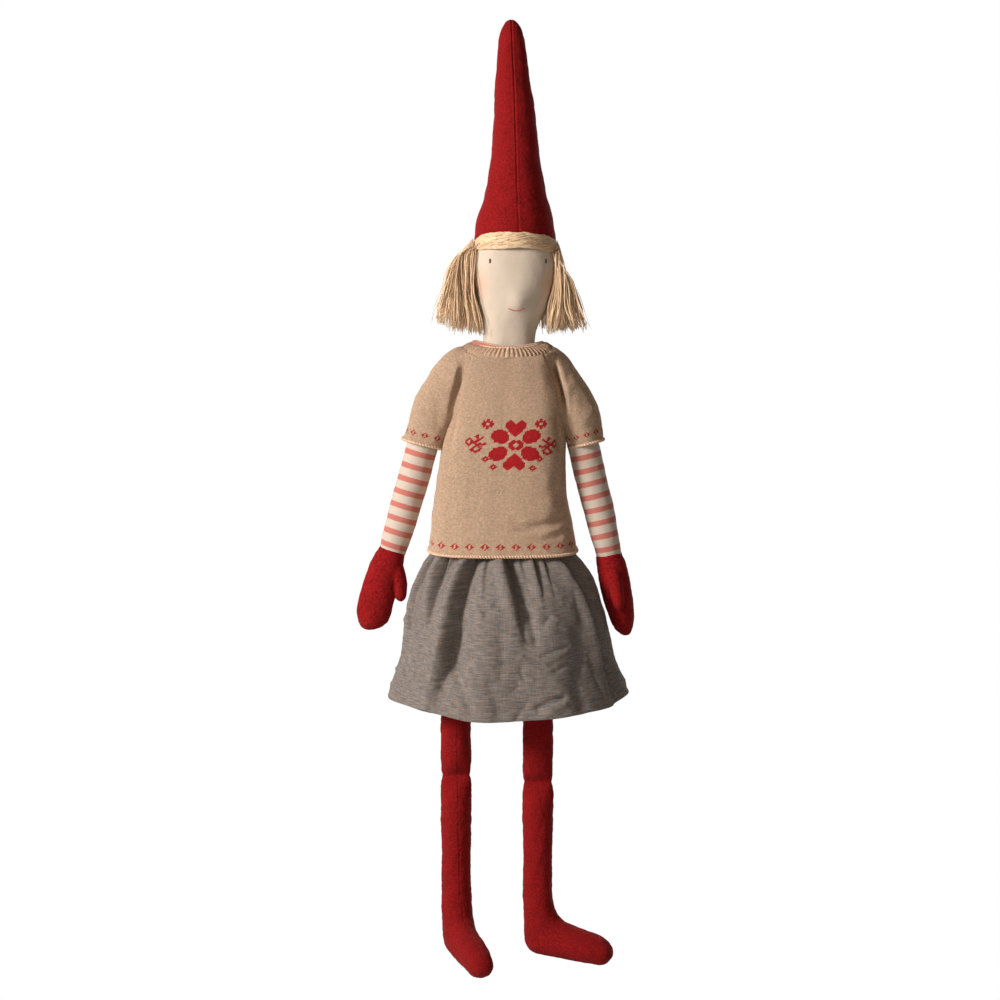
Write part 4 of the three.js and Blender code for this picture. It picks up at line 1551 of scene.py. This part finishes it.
class KnitSweater(bpy.types.Operator):
    """Knits the sweater's body with its rosette, its edging, its ribbed neck and its rolled hem"""

    bl_idname = "tomte.sweater"
    bl_label = "Sweater"

    around = 216
    rows = 152

    def execute(self, context):
        base = level_loft(SWEATER, SWEATER_SQUARENESS, turn=0.25)

        def place(u, v):
            points = base(u, v)
            front = np.clip(-points[:, 1] / 50, 0, 1)
            points[:, 2] -= front * 3.0 * ramp(points[:, 2], 130, 80)
            points[:, 2] -= front * 4.5 * ramp(points[:, 2], 270, 296)
            side = np.clip(np.abs(points[:, 0] - 12) / 44, 0, 1)
            points[:, 2] += 4.0 * side**3 * ramp(points[:, 2], 275, 297)
            return points

        body = knitted_tube("knitted_body", self.around, self.rows, place)
        stitches = edged_stitches(self.around, self.rows, 5)
        column, row = self.find_stitch(body, 21.5, 199.5)
        for name, mirrored, upside_down, dx, dz in ROSETTE:
            stamp(stitches, chart(name, mirrored, upside_down), column + dx, row + dz)
        work_pattern(body, stitches)
        self.fold(body)
        material, edging = knit_material(), rope_material()
        dress(body, material, "torso")
        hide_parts("sweater_body")
        self.knit_neckband(material, edging)
        edge = rolled_edge("knitted_hem", rim_points(body, lowest=True), 1.7)
        dress(edge, edging, "torso")
        return {"FINISHED"}

    def find_stitch(self, body, x, z):
        """The column and row of the stitch nearest to a place on the front."""
        points = points_of(body) / MM
        away = np.hypot(points[:, 0] - x, points[:, 2] - z)
        away[points[:, 1] > 0] = np.inf
        at = int(np.argmin(away))
        mesh = body.data
        for loop in mesh.loops:
            if loop.vertex_index == at:
                uv = mesh.uv_layers[0].uv[loop.index].vector
                return int(round(uv.x)), int(round(uv.y))
        raise RuntimeError("the sweater has no stitch there")

    def fold(self, body):
        """Soft drags in the knitting: from the armpits, and across the front above the hem."""
        for path, width, depth in (
            ([(-44, -28, 236), (-50, -30, 214), (-53, -32, 184)], 6, 5.0),
            ([(66, -28, 240), (70, -30, 216), (71, -32, 186)], 6, 5.0),
            ([(-44, 36, 236), (-50, 34, 214), (-52, 34, 186)], 7, 3.0),
            ([(60, 36, 240), (66, 34, 216), (68, 34, 190)], 7, 3.0),
            ([(-66, -30, 152), (-60, -40, 139), (-46, -47, 128)], 5.5, 2.4),
            ([(84, -24, 126), (62, -43, 113), (36, -51, 106), (10, -53, 108)], 5.5, 3.6),
            ([(84, -24, 109), (66, -42, 98), (46, -50, 94)], 4.0, 2.8),
            ([(-72, -30, 120), (-56, -43, 110), (-36, -50, 107)], 5.5, 2.2),
            ([(-60, -36, 176), (-52, -42, 160), (-46, -44, 140)], 8, 1.2),
            ([(70, -34, 176), (64, -40, 156), (60, -42, 138)], 8, 1.6),
            ([(70, 30, 130), (40, 46, 116), (0, 52, 112), (-40, 46, 118)], 7, 1.6),
            ([(56, -40, 104), (34, -50, 99), (12, -53, 98)], 3.4, -0.9),
        ):
            press(body, path, width, depth, 0.3)
        sew_raglans(body, SIDES)
        lump(body, 60, 1.1, 61, 2)
        lump(body, 17, 0.25, 62, 2)

    def knit_neckband(self, material, edging):
        ribs = 66
        base = level_loft(NECKBAND, NECKBAND_SQUARENESS, turn=0.25)

        def place(u, v):
            points = base(u, v)
            front = np.clip(-points[:, 1] / 36, 0, 1)
            side = np.clip(np.abs(points[:, 0] - 12) / 42, 0, 1)
            points[:, 2] += 4.0 * side**3 - 3.6 * front
            rib = np.cos(2 * np.pi * ribs * u)
            away = points[:, :2] - (12, 0)
            away /= np.linalg.norm(away, axis=1)[:, None]
            depth = 0.95 * rib * np.clip(v * 5, 0, 1) * np.clip((1.05 - v) * 6, 0, 1)
            points[:, :2] += away * depth[:, None]
            return points

        band = cloth_tube("ribbed_neckband", ribs * 8, 14, place, ribs * 2, 8)
        plain = np.zeros(len(band.data.vertices), np.float32)
        band.data.attributes.new("pattern", "FLOAT", "POINT").data.foreach_set("value", plain)
        dress(band, material, "torso")
        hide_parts("sweater_neckband")
        edge = rolled_edge("neckband_edge", rim_points(band, lowest=False), 1.0)
        dress(edge, edging, "torso")


def rim_points(piece, lowest):
    """The piece's open edge, in order round it, in millimetres."""
    places = {}
    mesh = piece.data
    uvs = [mesh.uv_layers[0].uv[loop.index].vector for loop in mesh.loops]
    limit = min(uv.y for uv in uvs) if lowest else max(uv.y for uv in uvs)
    for loop, uv in zip(mesh.loops, uvs):
        if abs(uv.y - limit) < 1e-4:
            places[loop.vertex_index] = min(uv.x, places.get(loop.vertex_index, math.inf))
    return points_of(piece)[sorted(places, key=places.get)] / MM


def gaps_round(ring):
    """The distance from each point of a closed ring to the next."""
    return np.linalg.norm(np.diff(np.vstack([ring, ring[:1]]), axis=0), axis=1)


def rolled_edge(name, ring, radius):
    """A cast-off edge: a knobbly roll of yarn round an open edge."""
    gaps = gaps_round(ring)
    total = gaps.sum()
    twists = int(total / 3.2)
    at = np.concatenate([[0], np.cumsum(gaps)]) / total
    closed = np.vstack([ring, ring[:1]])

    def on_ring(u):
        return np.column_stack([np.interp(u % 1.0, at, closed[:, k]) for k in range(3)])

    def place(u, v):
        ahead = on_ring(u + 0.004) - on_ring(u - 0.004)
        ahead /= np.linalg.norm(ahead, axis=1)[:, None]
        side = np.cross(ahead, (0, 0, 1.0))
        side /= np.linalg.norm(side, axis=1)[:, None]
        out = np.cross(side, ahead)
        angle = 2 * np.pi * v
        thick = radius * (1 + 0.26 * np.sin(2 * np.pi * (twists * u + v)))
        return (
            on_ring(u)
            + side * (thick * np.cos(angle))[:, None]
            + out * (thick * np.sin(angle))[:, None]
        )

    return cloth_tube(name, twists * 8, 10, place)


def settle_on_body(points, side):
    """Hides a sleeve inside the sweater as far as its raglan seam, and eases it out beyond."""
    rows = np.array(SWEATER[:-1] + NECKBAND, float)
    middle, half, deep = (np.interp(points[:, 2], rows[:, 2], rows[:, k]) for k in (0, 3, 4))
    across = np.clip(np.abs(points[:, 0] - middle) / half, 0, 1)
    body = deep * (1 - across**SWEATER_SQUARENESS) ** (1 / SWEATER_SQUARENESS)
    out = np.abs(points[:, 1])
    soft = np.interp(points[:, 2], [222, 245, 270, 290], [0.5, 4, 9, 10])
    near = np.clip(1 - np.abs(out - body) / soft, 0, 1)
    eased = np.maximum(out, body - 0.9) + near**2 * soft / 4
    seam = np.array(RAGLANS[side], float)[::-1]
    past = FACING[side] * (points[:, 0] - np.interp(points[:, 2], seam[:, 1], seam[:, 0]))
    shown = ease(np.clip(past / 12, 0, 1))
    hidden = np.maximum(np.minimum(out, body - 2.5), 0)
    settled = eased * shown + hidden * (1 - shown)
    fade = np.interp(points[:, 2], [225, 250], [0, 1]) * np.clip((out - 2) / 6, 0, 1)
    points[:, 1] = np.sign(points[:, 1]) * (out + (settled - out) * fade)
    return points


def sew_raglans(piece, sides):
    for side in sides:
        for y in (-60, 60):
            line = [(x, y, z) for x, z in RAGLANS[side]]
            surface_press(piece, line, 1.3, 1.1)
            raise_beside(piece, line, 2.6, 1.3, 0.35)


class KnitSleeves(bpy.types.Operator):
    """Knits each raglan sleeve and parts it at the shoulder into a cap and the rest of the sleeve
    """

    bl_idname = "tomte.sleeves"
    bl_label = "Sleeves"

    around = 88
    rows = 92

    def execute(self, context):
        for side in SIDES:
            self.knit(side)
        return {"FINISHED"}

    def place(self, side):
        rows = np.array([(*outer, *inner, deep) for outer, inner, deep in SLEEVES[side]], float)

        def place(u, v):
            row = along_rows(rows, v)
            angle = 2 * np.pi * u
            outer, inner = row[:, 0:2], row[:, 2:4]
            middle, half = (outer + inner) / 2, (outer - inner) / 2
            across = middle + half * np.cos(angle)[:, None]
            y = -3.0 + row[:, 4] * np.sin(angle)
            return settle_on_body(np.column_stack([across[:, 0], y, across[:, 1]]), side)

        return place

    def knit(self, side):
        name = f"{side}_knitted_sleeve"
        sleeve = knitted_tube(name, self.around, self.rows, self.place(side))
        work_pattern(sleeve, edged_stitches(self.around, self.rows, self.rows - 10, True))
        self.fold(sleeve, side)
        cuff = rolled_edge(f"{side}_knitted_cuff", rim_points(sleeve, lowest=False), 1.6)
        dress(cuff, bpy.data.materials["knitted edge"], f"{side}_arm")
        cap = self.cut_off_cap(sleeve, side)
        material = bpy.data.materials["knitting"]
        dress(cap, material)
        dress(sleeve, material)
        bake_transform(cap)
        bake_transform(sleeve)
        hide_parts(f"{side}_sleeve")

    def outward(self, side):
        """The way out along the arm from the shoulder, by which the cap is parted from the rest of
        the sleeve.
        """
        return FACING[side] * 0.9, 0, -0.436

    def fold(self, sleeve, side):
        out = FACING[side]
        x = SHOULDERS[side][0]
        for path, width, depth in (
            ([(x + out * 2, -30, 262), (x - out * 1, -30, 236), (x + out * 3, -26, 208)], 6, 2.0),
            ([(x + out * 14, -28, 250), (x + out * 12, -27, 226)], 7, 1.0),
            ([(x - out * 6, -30, 280), (x - out * 2, -31, 262)], 6, 1.0),
        ):
            press(sleeve, path, width, depth, 0.35)
        sew_raglans(sleeve, (side,))
        lump(sleeve, 34, 0.8, by_side(side, 71, 73), 2)
        lump(sleeve, 12, 0.2, 75, 2)

    def cut_off_cap(self, sleeve, side):
        """Parts the sleeve at the shoulder, and keeps the shading smooth over the cut."""
        store = sleeve.data.attributes.new("whole_normal", "FLOAT_VECTOR", "POINT")
        store.data.foreach_set("vector", normals_of(sleeve).ravel())
        deselect()
        bpy.context.view_layer.objects.active = sleeve
        sleeve.select_set(True)
        beyond = (points_of(sleeve) / MM - SHOULDERS[side]) @ self.outward(side)
        nearest = [min(beyond[v] for v in face.vertices) for face in sleeve.data.polygons]
        bpy.ops.object.mode_set(mode="EDIT")
        bpy.ops.mesh.select_mode(type="FACE")
        bpy.ops.mesh.select_all(action="DESELECT")
        bpy.ops.object.mode_set(mode="OBJECT")
        sleeve.data.polygons.foreach_set("select", [bool(off < -4.2) for off in nearest])
        bpy.ops.object.mode_set(mode="EDIT")
        bpy.ops.mesh.separate(type="SELECTED")
        bpy.ops.object.mode_set(mode="OBJECT")
        cap = next(o for o in bpy.context.selected_objects if o is not sleeve)
        cap.name = cap.data.name = f"{side}_sleeve_cap"
        for piece in (cap, sleeve):
            kept = np.empty(len(piece.data.vertices) * 3)
            piece.data.attributes["whole_normal"].data.foreach_get("vector", kept)
            piece.data.normals_split_custom_set_from_vertices(kept.reshape(-1, 3).tolist())
            piece.data.attributes.remove(piece.data.attributes["whole_normal"])
        return cap


class SewSkirt(bpy.types.Operator):
    """Gathers the linen skirt on its waist and lets its pleats fall"""

    bl_idname = "tomte.skirt"
    bl_label = "Skirt"

    def execute(self, context):
        base = level_loft(SKIRT, SKIRT_SQUARENESS, turn=0.25)
        pleats = self.pleats()

        def place(u, v):
            points = base(u, v)
            away = points[:, :2] - (8, 0)
            reach = np.linalg.norm(away, axis=1)
            away = away / reach[:, None]
            turn = u * 2 * np.pi
            push, slide = np.zeros(len(u)), np.zeros(len(u))
            for start, end, until, depth, width, fall in pleats:
                middle = start + (end - start) * np.minimum(v / until, 1.15)
                off = ((turn - middle + np.pi) % (2 * np.pi) - np.pi) * reach
                off = off / (width * (0.8 + 1.5 * v))
                fade = ease(ramp(v, fall + 0.26, fall - 0.26))
                keep = depth * fade * (0.62 + 0.38 * np.clip(v * 12, 0, 1))
                push -= keep * hill(off / np.where(off < 0, STEEP_WALL, GENTLE_WALL))
                push += RIDGE_SHARE * keep * hill((off - RIDGE_AT) / RIDGE_WIDTH)
                slide += SLIDE_SHARE * keep * hill((off - SLIDE_AT) / RIDGE_WIDTH)
            push = np.where(push > 0, push * ramp(points[:, 2], 80, 66), push)
            push = DEEPEST_FOLD * np.tanh(push / DEEPEST_FOLD)
            slide = FARTHEST_SLIDE * np.tanh(slide / FARTHEST_SLIDE)
            waves = np.sin(turn * 7 + 1.0) * 1.9 + np.sin(turn * 11 + 0.6) * 1.5
            push += waves * np.clip(v * 1.3 - 0.3, 0, 1)
            push -= 0.7 * hill((v - HEM_STITCHES) / 0.006)
            points[:, :2] += away * push[:, None]
            points[:, 0] -= away[:, 1] * slide
            points[:, 1] += away[:, 0] * slide
            points[:, 2] += np.clip(v - 0.7, 0, 1) * 5 * np.sin(turn * 5 + 2.2)
            front = np.clip(-points[:, 1] / 95, 0, 1)
            side = np.clip(np.abs(points[:, 0] - 12) / 134, 0, 1) ** 2
            points[:, 2] += (5.0 * side - 10.5 * front) * np.clip(v * 1.4 - 0.4, 0, 1)
            return points

        skirt = cloth_tube("gathered_skirt", 400, 123, place)
        self.crumple(skirt)
        for path, width, depth in FRONT_CREASES:
            surface_press(skirt, [(x, -60, z) for x, z in path], width, depth)
        ring = rim_points(skirt, lowest=False)
        sheet_area = area_of(skirt)
        apply_modifier(skirt, "SOLIDIFY", thickness=0.9 * MM, offset=-1)
        dress(skirt, linen_material(), "torso")
        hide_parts("skirt_front_panel", "skirt_back_panel")
        width = gaps_round(ring).sum() * MM
        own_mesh(skirt)
        return {"FINISHED"}

    def pleats(self):
        """Each fold: its angle at the waist, its angle lower down and where that is reached,
        its depth, its half width and how far down the skirt it runs."""
        folds = [
            (math.pi + math.radians(waist), math.pi + math.radians(lower), *rest)
            for waist, lower, *rest in FRONT_FOLDS
        ]
        rng = np.random.default_rng(81)
        count = sizes().pleats
        for k in range(count):
            start = math.radians(78 + 204 * (k + rng.uniform(0.25, 0.75)) / count) + math.pi
            end = start + rng.uniform(-0.12, 0.12)
            size = rng.uniform(7, 14), rng.uniform(4, 6.5), rng.uniform(0.25, 0.95)
            folds.append((start, end, 0.7, *size))
        for _ in range(count * 3):
            start = 2 * np.pi * rng.uniform()
            end = start + rng.uniform(-0.1, 0.1)
            size = rng.uniform(1.0, 2.6), rng.uniform(2, 3.2), rng.uniform(0.1, 0.36)
            folds.append((start, end, 0.4, *size))
        return folds

    def crumple(self, skirt):
        """Sharp short creases, as linen keeps, in a seeded scatter below the gathers."""
        rng = np.random.default_rng(83)
        points = points_of(skirt) / MM
        normals = normals_of(skirt)
        push = np.zeros(len(points))
        for _ in range(190):
            at = points[rng.integers(len(points))]
            if at[2] > 46:
                continue
            lean = rng.choice([rng.normal(0, 0.5), rng.normal(1.35, 0.35)])
            tangent = np.array([-(at[1]), at[0] - 8, 0.0])
            tangent /= np.linalg.norm(tangent)
            way = tangent * math.sin(lean) + np.array([0, 0, 1.0]) * math.cos(lean)
            reach = rng.uniform(6, 22)
            bend = tangent * rng.normal(0, 3)
            path = [at - way * reach, at + bend, at + way * reach]
            near = np.linalg.norm(points - at, axis=1) < reach * 1.8 + 8
            away, where = far_from_path(points[near], path)
            fade = np.clip(np.minimum(where, 1 - where) * 4, 0, 1)
            width = rng.uniform(1.1, 3.0)
            height = rng.uniform(1.1, 2.9) * rng.choice([-1, 1])
            push[near] += height * fade * np.exp(-np.abs(away) / width)
        push += 0.45 * wavy(points, 18, 84, 3)
        put_points(skirt, (points + normals * push[:, None]) * MM)


def area_of(piece):
    areas = np.empty(len(piece.data.polygons))
    piece.data.polygons.foreach_get("area", areas)
    return float(areas.sum())


class SewArms(bpy.types.Operator):
    """Sews and stuffs the striped arms"""

    bl_idname = "tomte.arms"
    bl_label = "Arms"

    def execute(self, context):
        material = bpy.data.materials["striped jersey"]
        for side in SIDES:
            arm = cloth_tube(f"{side}_striped_arm", 64, 170, square_loft(ARMS[side]))
            inside = [(x - FACING[side] * r, y + 4, z) for x, y, z, r, _ in ARMS[side][4:]]
            press(arm, inside, 1.2, 0.5)
            lump(arm, 30, 0.45, by_side(side, 91, 93))
            start_stripe(arm, by_side(side, (-129, -6, 89), (137, -6, 84)))
            dress(arm, material, f"{side}_arm")
            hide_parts(f"{side}_arm_cover", f"{side}_arm_stuffing")
        return {"FINISHED"}


class SewMittens(bpy.types.Operator):
    """Sews the stuffed mittens, each with its thumb"""

    bl_idname = "tomte.mittens"
    bl_label = "Mittens"

    def execute(self, context):
        material = mitten_material()
        for side in SIDES:
            palm = cloth_tube(f"{side}_sewn_mitten", 72, 100, square_loft(MITTENS[side]))
            thumb = cloth_tube(f"{side}_thumb", 40, 48, square_loft(THUMBS[side]))
            self.join(palm, thumb)
            lump(palm, 22, 0.5, by_side(side, 101, 103))
            dress(palm, material, f"{side}_arm")
            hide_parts(f"{side}_mitten", f"{side}_mitten_stuffing")
        return {"FINISHED"}

    def join(self, palm, thumb):
        """Makes one skin of the palm and the thumb, with the crotch between them rounded."""
        close_top(palm)
        deselect()
        thumb.select_set(True)
        palm.select_set(True)
        bpy.context.view_layer.objects.active = palm
        bpy.ops.object.join()
        apply_modifier(palm, "REMESH", mode="VOXEL", voxel_size=1.05 * MM)
        apply_modifier(palm, "SMOOTH", factor=0.5, iterations=6)
        deselect()
        palm.select_set(True)
        bpy.context.view_layer.objects.active = palm
        bpy.ops.object.shade_smooth()


def close_top(piece):
    """Closes the open edge of a tube with a face, so that it can be remeshed."""
    deselect()
    bpy.context.view_layer.objects.active = piece
    bpy.ops.object.mode_set(mode="EDIT")
    bpy.ops.mesh.select_all(action="DESELECT")
    bpy.ops.mesh.select_mode(type="EDGE")
    bpy.ops.mesh.select_non_manifold(extend=False)
    bpy.ops.mesh.edge_face_add()
    bpy.ops.object.mode_set(mode="OBJECT")


class SewLegs(bpy.types.Operator):
    """Sews the long red legs: a stuffed thigh, a flat crease at the knee, a shin and a foot"""

    bl_idname = "tomte.legs"
    bl_label = "Legs"

    def execute(self, context):
        for side in SIDES:
            self.sew(side)
        return {"FINISHED"}

    def outlines(self, side):
        """Rows of a section's middle, then its two half axes, down the thigh and the stocking."""
        leg = LEG[side]
        x, knee, ankle = leg["x"], leg["knee"], leg["ankle"]
        upper = [(x, y, z, wide, 0, 0, 0, deep, 0) for y, z, wide, deep in (
            (0, 17, 15.5, 0.6), (0, 14, 16, 3.5), (0, 6, 17, 10), (0, -8, 17.2, 15.5),
            (0, -40, LEG_RADIUS, LEG_RADIUS), (0, -84, LEG_RADIUS, LEG_RADIUS),
        )]
        lower = [(x, y, z, wide, 0, 0, 0, deep, 0) for y, z, wide, deep in (
            (0, -84, LEG_RADIUS, LEG_RADIUS), (0, knee + 44, 17.2, 17),
            (0, knee + 22, 17.2, 15), (0, knee + 10, 16.9, 10),
            (0, knee + 3.6, 16.2, 4.6), (0, knee, 15.4, 2.4), (0, knee - 3.6, 16.2, 4.6),
            (0.5, knee - 10, 17.2, 10), (1, knee - 22, 17.5, 15.2), (3, knee - 60, 17.2, 17.2),
            (ankle - 2, knee - 88, 16.8, 17),
        )]
        turn = math.radians(leg["turn"])
        ahead = self.toe_way(side)
        across = np.array([math.cos(turn), math.sin(turn), 0])
        for front, back, half in FOOT:
            half = half * (1 - leg["narrow"] * min(max(front[0] - 24, 0) / 50, 1))
            front = np.array([x, ankle, front[1]]) + ahead * front[0]
            back = np.array([x, ankle, back[1]]) + ahead * back[0]
            middle, reach = (front + back) / 2, (front - back) / 2
            wide = across * half
            first = wide * math.cos(turn) + reach * math.sin(turn)
            second = wide * math.sin(turn) - reach * math.cos(turn)
            lower.append((*middle, *first, *second))
        return upper, lower

    def toe_way(self, side):
        turn = math.radians(LEG[side]["turn"])
        return np.array([math.sin(turn), -math.cos(turn), 0])

    def sew(self, side):
        upper, lower = self.outlines(side)
        material = bpy.data.materials["red wool"]
        thigh = cloth_tube(f"{side}_sewn_thigh", 60, 60, framed_loft(upper))
        dress(thigh, material)
        shin = cloth_tube(f"{side}_sewn_stocking", 128, 280, framed_loft(lower))
        self.press_seams(shin, side)
        lump(shin, 30, 0.6, by_side(side, 111, 113))
        lump(shin, 9, 0.2, 115)
        dress(shin, material)
        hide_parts(f"{side}_thigh_cover", f"{side}_thigh_stuffing")
        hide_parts(f"{side}_stocking_cover", f"{side}_shin_stuffing")
        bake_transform(thigh)
        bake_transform(shin)

    def press_seams(self, shin, side):
        """The seam down the front of the right leg, the seam over the foot, and the row of stitches
        across the knee.
        """
        leg = LEG[side]
        x, knee = leg["x"], leg["knee"]
        ahead = self.toe_way(side)
        seam = [
            (x + 1.6, -60, -84), (x + 2.4, -60, knee),
            (x + 3.6, -60, knee - 80), (x + 4.4, -60, -322),
        ]
        if side == "right":
            surface_press(shin, seam, 0.8, 0.32)
            surface_press(shin, [(a - 1.8, b, c) for a, b, c in seam], 1.1, -0.16)
        low = [np.array([x, leg["ankle"], z]) + ahead * reach for (reach, z), _, _ in FOOT[1:-1]]
        press(shin, low, 0.9, 0.5, 0.1)
        stitches = [(x + dx, -3.2, knee + 0.4 * math.sin(dx)) for dx in range(-20, 21, 4)]
        press(shin, stitches, 1.2, 0.5, 0.02)
        rng = np.random.default_rng(by_side(side, 117, 118))
        for _ in range(16):
            z = rng.uniform(knee - 150, -95)
            at = x + rng.uniform(-13, 13)
            lean = rng.normal(0, 1.6)
            path = [(at - 6, -15, z - lean), (at, -16, z + 0.5), (at + 6, -15, z + lean)]
            press(shin, path, 1.6, rng.uniform(-0.3, 0.45), 0.4)


class FinishHiddenParts(bpy.types.Operator):
    """Gives the waistband, elastic, tape and tabs their own cloth"""

    bl_idname = "tomte.hidden_parts"
    bl_label = "Hidden parts"

    def execute(self, context):
        band = linen_band_material()
        tape = tape_material("cotton tape", (0.74, 0.68, 0.58))
        elastic = tape_material("woven elastic", (0.82, 0.81, 0.78))
        nodes = {"skirt_waistband": band, "waist_elastic": elastic, "hip_tape": tape}
        for side in SIDES:
            nodes[f"{side}_shoulder_tab"] = tape
        for name, material in nodes.items():
            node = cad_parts[name]
            if not node.material_slots:
                node.data.materials.append(material)
            for held in node.material_slots:
                held.material = material
        return {"FINISHED"}


def linen_band_material():
    """The skirt's linen again, on the waistband."""
    m = Cloth("linen band")
    c = colours()
    fleck = m.noise(m.object((1400, 1400, 1400)), 1.0, 2.0)
    slub = m.noise(m.object((60, 60, 1500)), 1.0, 3.0)
    share = m.math("ADD", m.math("MULTIPLY", fleck, 0.4), m.math("MULTIPLY", slub, 0.6))
    base = m.mix(m.stretch(share, 0.3, 0.7), rgb(c.linen_dark), rgb(c.linen_light))
    normal = m.bump(fleck, 0.0002, 0.6)
    rough = m.stretch(fleck, 0.2, 0.8, 0.82, 0.95)
    return m.finish(base, rough, normal, specular=0.15)


# ---- stage --------------------------------------------------------------------------------
class SetStage(bpy.types.Operator):
    """Sets the pale floor, the soft lights and the camera"""

    bl_idname = "tomte.stage"
    bl_label = "Stage"

    def execute(self, context):
        self.lay_floor()
        self.light_up()
        self.set_camera()
        return {"FINISHED"}

    def lay_floor(self):
        deselect()
        bpy.ops.mesh.primitive_circle_add(
            vertices=96, radius=9, fill_type="NGON", location=(0, 0, FLOOR_HEIGHT)
        )
        floor = bpy.context.object
        floor.name = "pale_floor"
        material = bpy.data.materials.new("pale floor")
        material.use_nodes = True
        tree = material.node_tree
        tree.nodes.clear()
        glow = tree.nodes.new("ShaderNodeEmission")
        glow.inputs["Color"].default_value = WHITE
        glow.inputs["Strength"].default_value = 1.0
        matt = tree.nodes.new("ShaderNodeBsdfDiffuse")
        matt.inputs["Color"].default_value = (0.5, 0.5, 0.5, 1)
        end = tree.nodes.new("ShaderNodeOutputMaterial")
        self.show_white(tree, matt, glow, end)
        floor.data.materials.append(material)

    def show_white(self, tree, real, white, end):
        """Lights the doll with one shader and shows the camera another."""
        seen = tree.nodes.new("ShaderNodeLightPath")
        both = tree.nodes.new("ShaderNodeMixShader")
        tree.links.new(seen.outputs["Is Camera Ray"], both.inputs[0])
        tree.links.new(real.outputs[0], both.inputs[1])
        tree.links.new(white.outputs[0], both.inputs[2])
        tree.links.new(both.outputs[0], end.inputs["Surface"])

    def light_up(self):
        world = bpy.data.worlds.new("studio")
        bpy.context.scene.world = world
        world.use_nodes = True
        tree = world.node_tree
        soft = tree.nodes["Background"]
        soft.inputs["Color"].default_value = ROOM_COLOUR
        soft.inputs["Strength"].default_value = ROOM_STRENGTH
        white = tree.nodes.new("ShaderNodeBackground")
        white.inputs["Color"].default_value = WHITE
        white.inputs["Strength"].default_value = 1.0
        self.show_white(tree, soft, white, tree.nodes["World Output"])
        for name, (place, size, power, tint) in LIGHTS.items():
            lamp = bpy.data.lights.new(name, "AREA")
            lamp.shape = "DISK"
            lamp.size = size
            lamp.energy = power
            lamp.color = tint
            holder = bpy.data.objects.new(name, lamp)
            bpy.context.collection.objects.link(holder)
            holder.location = place
            aim = Vector(LIT_POINT) - Vector(place)
            holder.rotation_euler = aim.to_track_quat("-Z", "Y").to_euler()

    def set_camera(self):
        scene = bpy.context.scene
        lens = bpy.data.cameras.new("camera")
        lens.lens = CAMERA_LENS
        lens.clip_start = 0.05
        camera = bpy.data.objects.new("camera", lens)
        bpy.context.collection.objects.link(camera)
        camera.location = CAMERA_PLACE
        camera.rotation_euler = (CAMERA_TILT, 0, 0)
        scene.camera = camera
        scene.view_settings.view_transform = "Standard"


# ---- add-on -------------------------------------------------------------------------------
class TOMTE_PT_doll(bpy.types.Panel):
    """Lists the doll's pieces in the order in which they are made"""

    bl_label = "Tomte doll"
    bl_space_type = "VIEW_3D"
    bl_region_type = "UI"
    bl_category = "Tomte"

    def draw(self, context):
        for group in (context.scene.tomte_sizes, context.scene.tomte_colours):
            for name in group.__annotations__:
                self.layout.prop(group, name)
        for made in OPERATORS:
            self.layout.operator(made.bl_idname)


OPERATORS = (
    SetStage,
    MakeHead,
    StitchFace,
    MakeHat,
    MakeHair,
    MakeBody,
    KnitSweater,
    KnitSleeves,
    SewSkirt,
    SewArms,
    SewMittens,
    SewLegs,
    FinishHiddenParts,
)
CLASSES = (TomteSizes, TomteColours, *OPERATORS, TOMTE_PT_doll)


def register():
    for made in CLASSES:
        bpy.utils.register_class(made)
    bpy.types.Scene.tomte_sizes = bpy.props.PointerProperty(type=TomteSizes)
    bpy.types.Scene.tomte_colours = bpy.props.PointerProperty(type=TomteColours)


def unregister():
    del bpy.types.Scene.tomte_colours
    del bpy.types.Scene.tomte_sizes
    for made in reversed(CLASSES):
        bpy.utils.unregister_class(made)


def main():
    register()
    make_weave_group()
    make_knit_group()
    make_handled_group()
    bpy.ops.tomte.stage()
    bpy.ops.tomte.head()
    bpy.ops.tomte.face()
    bpy.ops.tomte.hat()
    bpy.ops.tomte.hair()
    bpy.ops.tomte.body()
    bpy.ops.tomte.sweater()
    bpy.ops.tomte.sleeves()
    bpy.ops.tomte.skirt()
    bpy.ops.tomte.arms()
    bpy.ops.tomte.mittens()
    bpy.ops.tomte.legs()
    bpy.ops.tomte.hidden_parts()


if __name__ == "__main__":
    main()
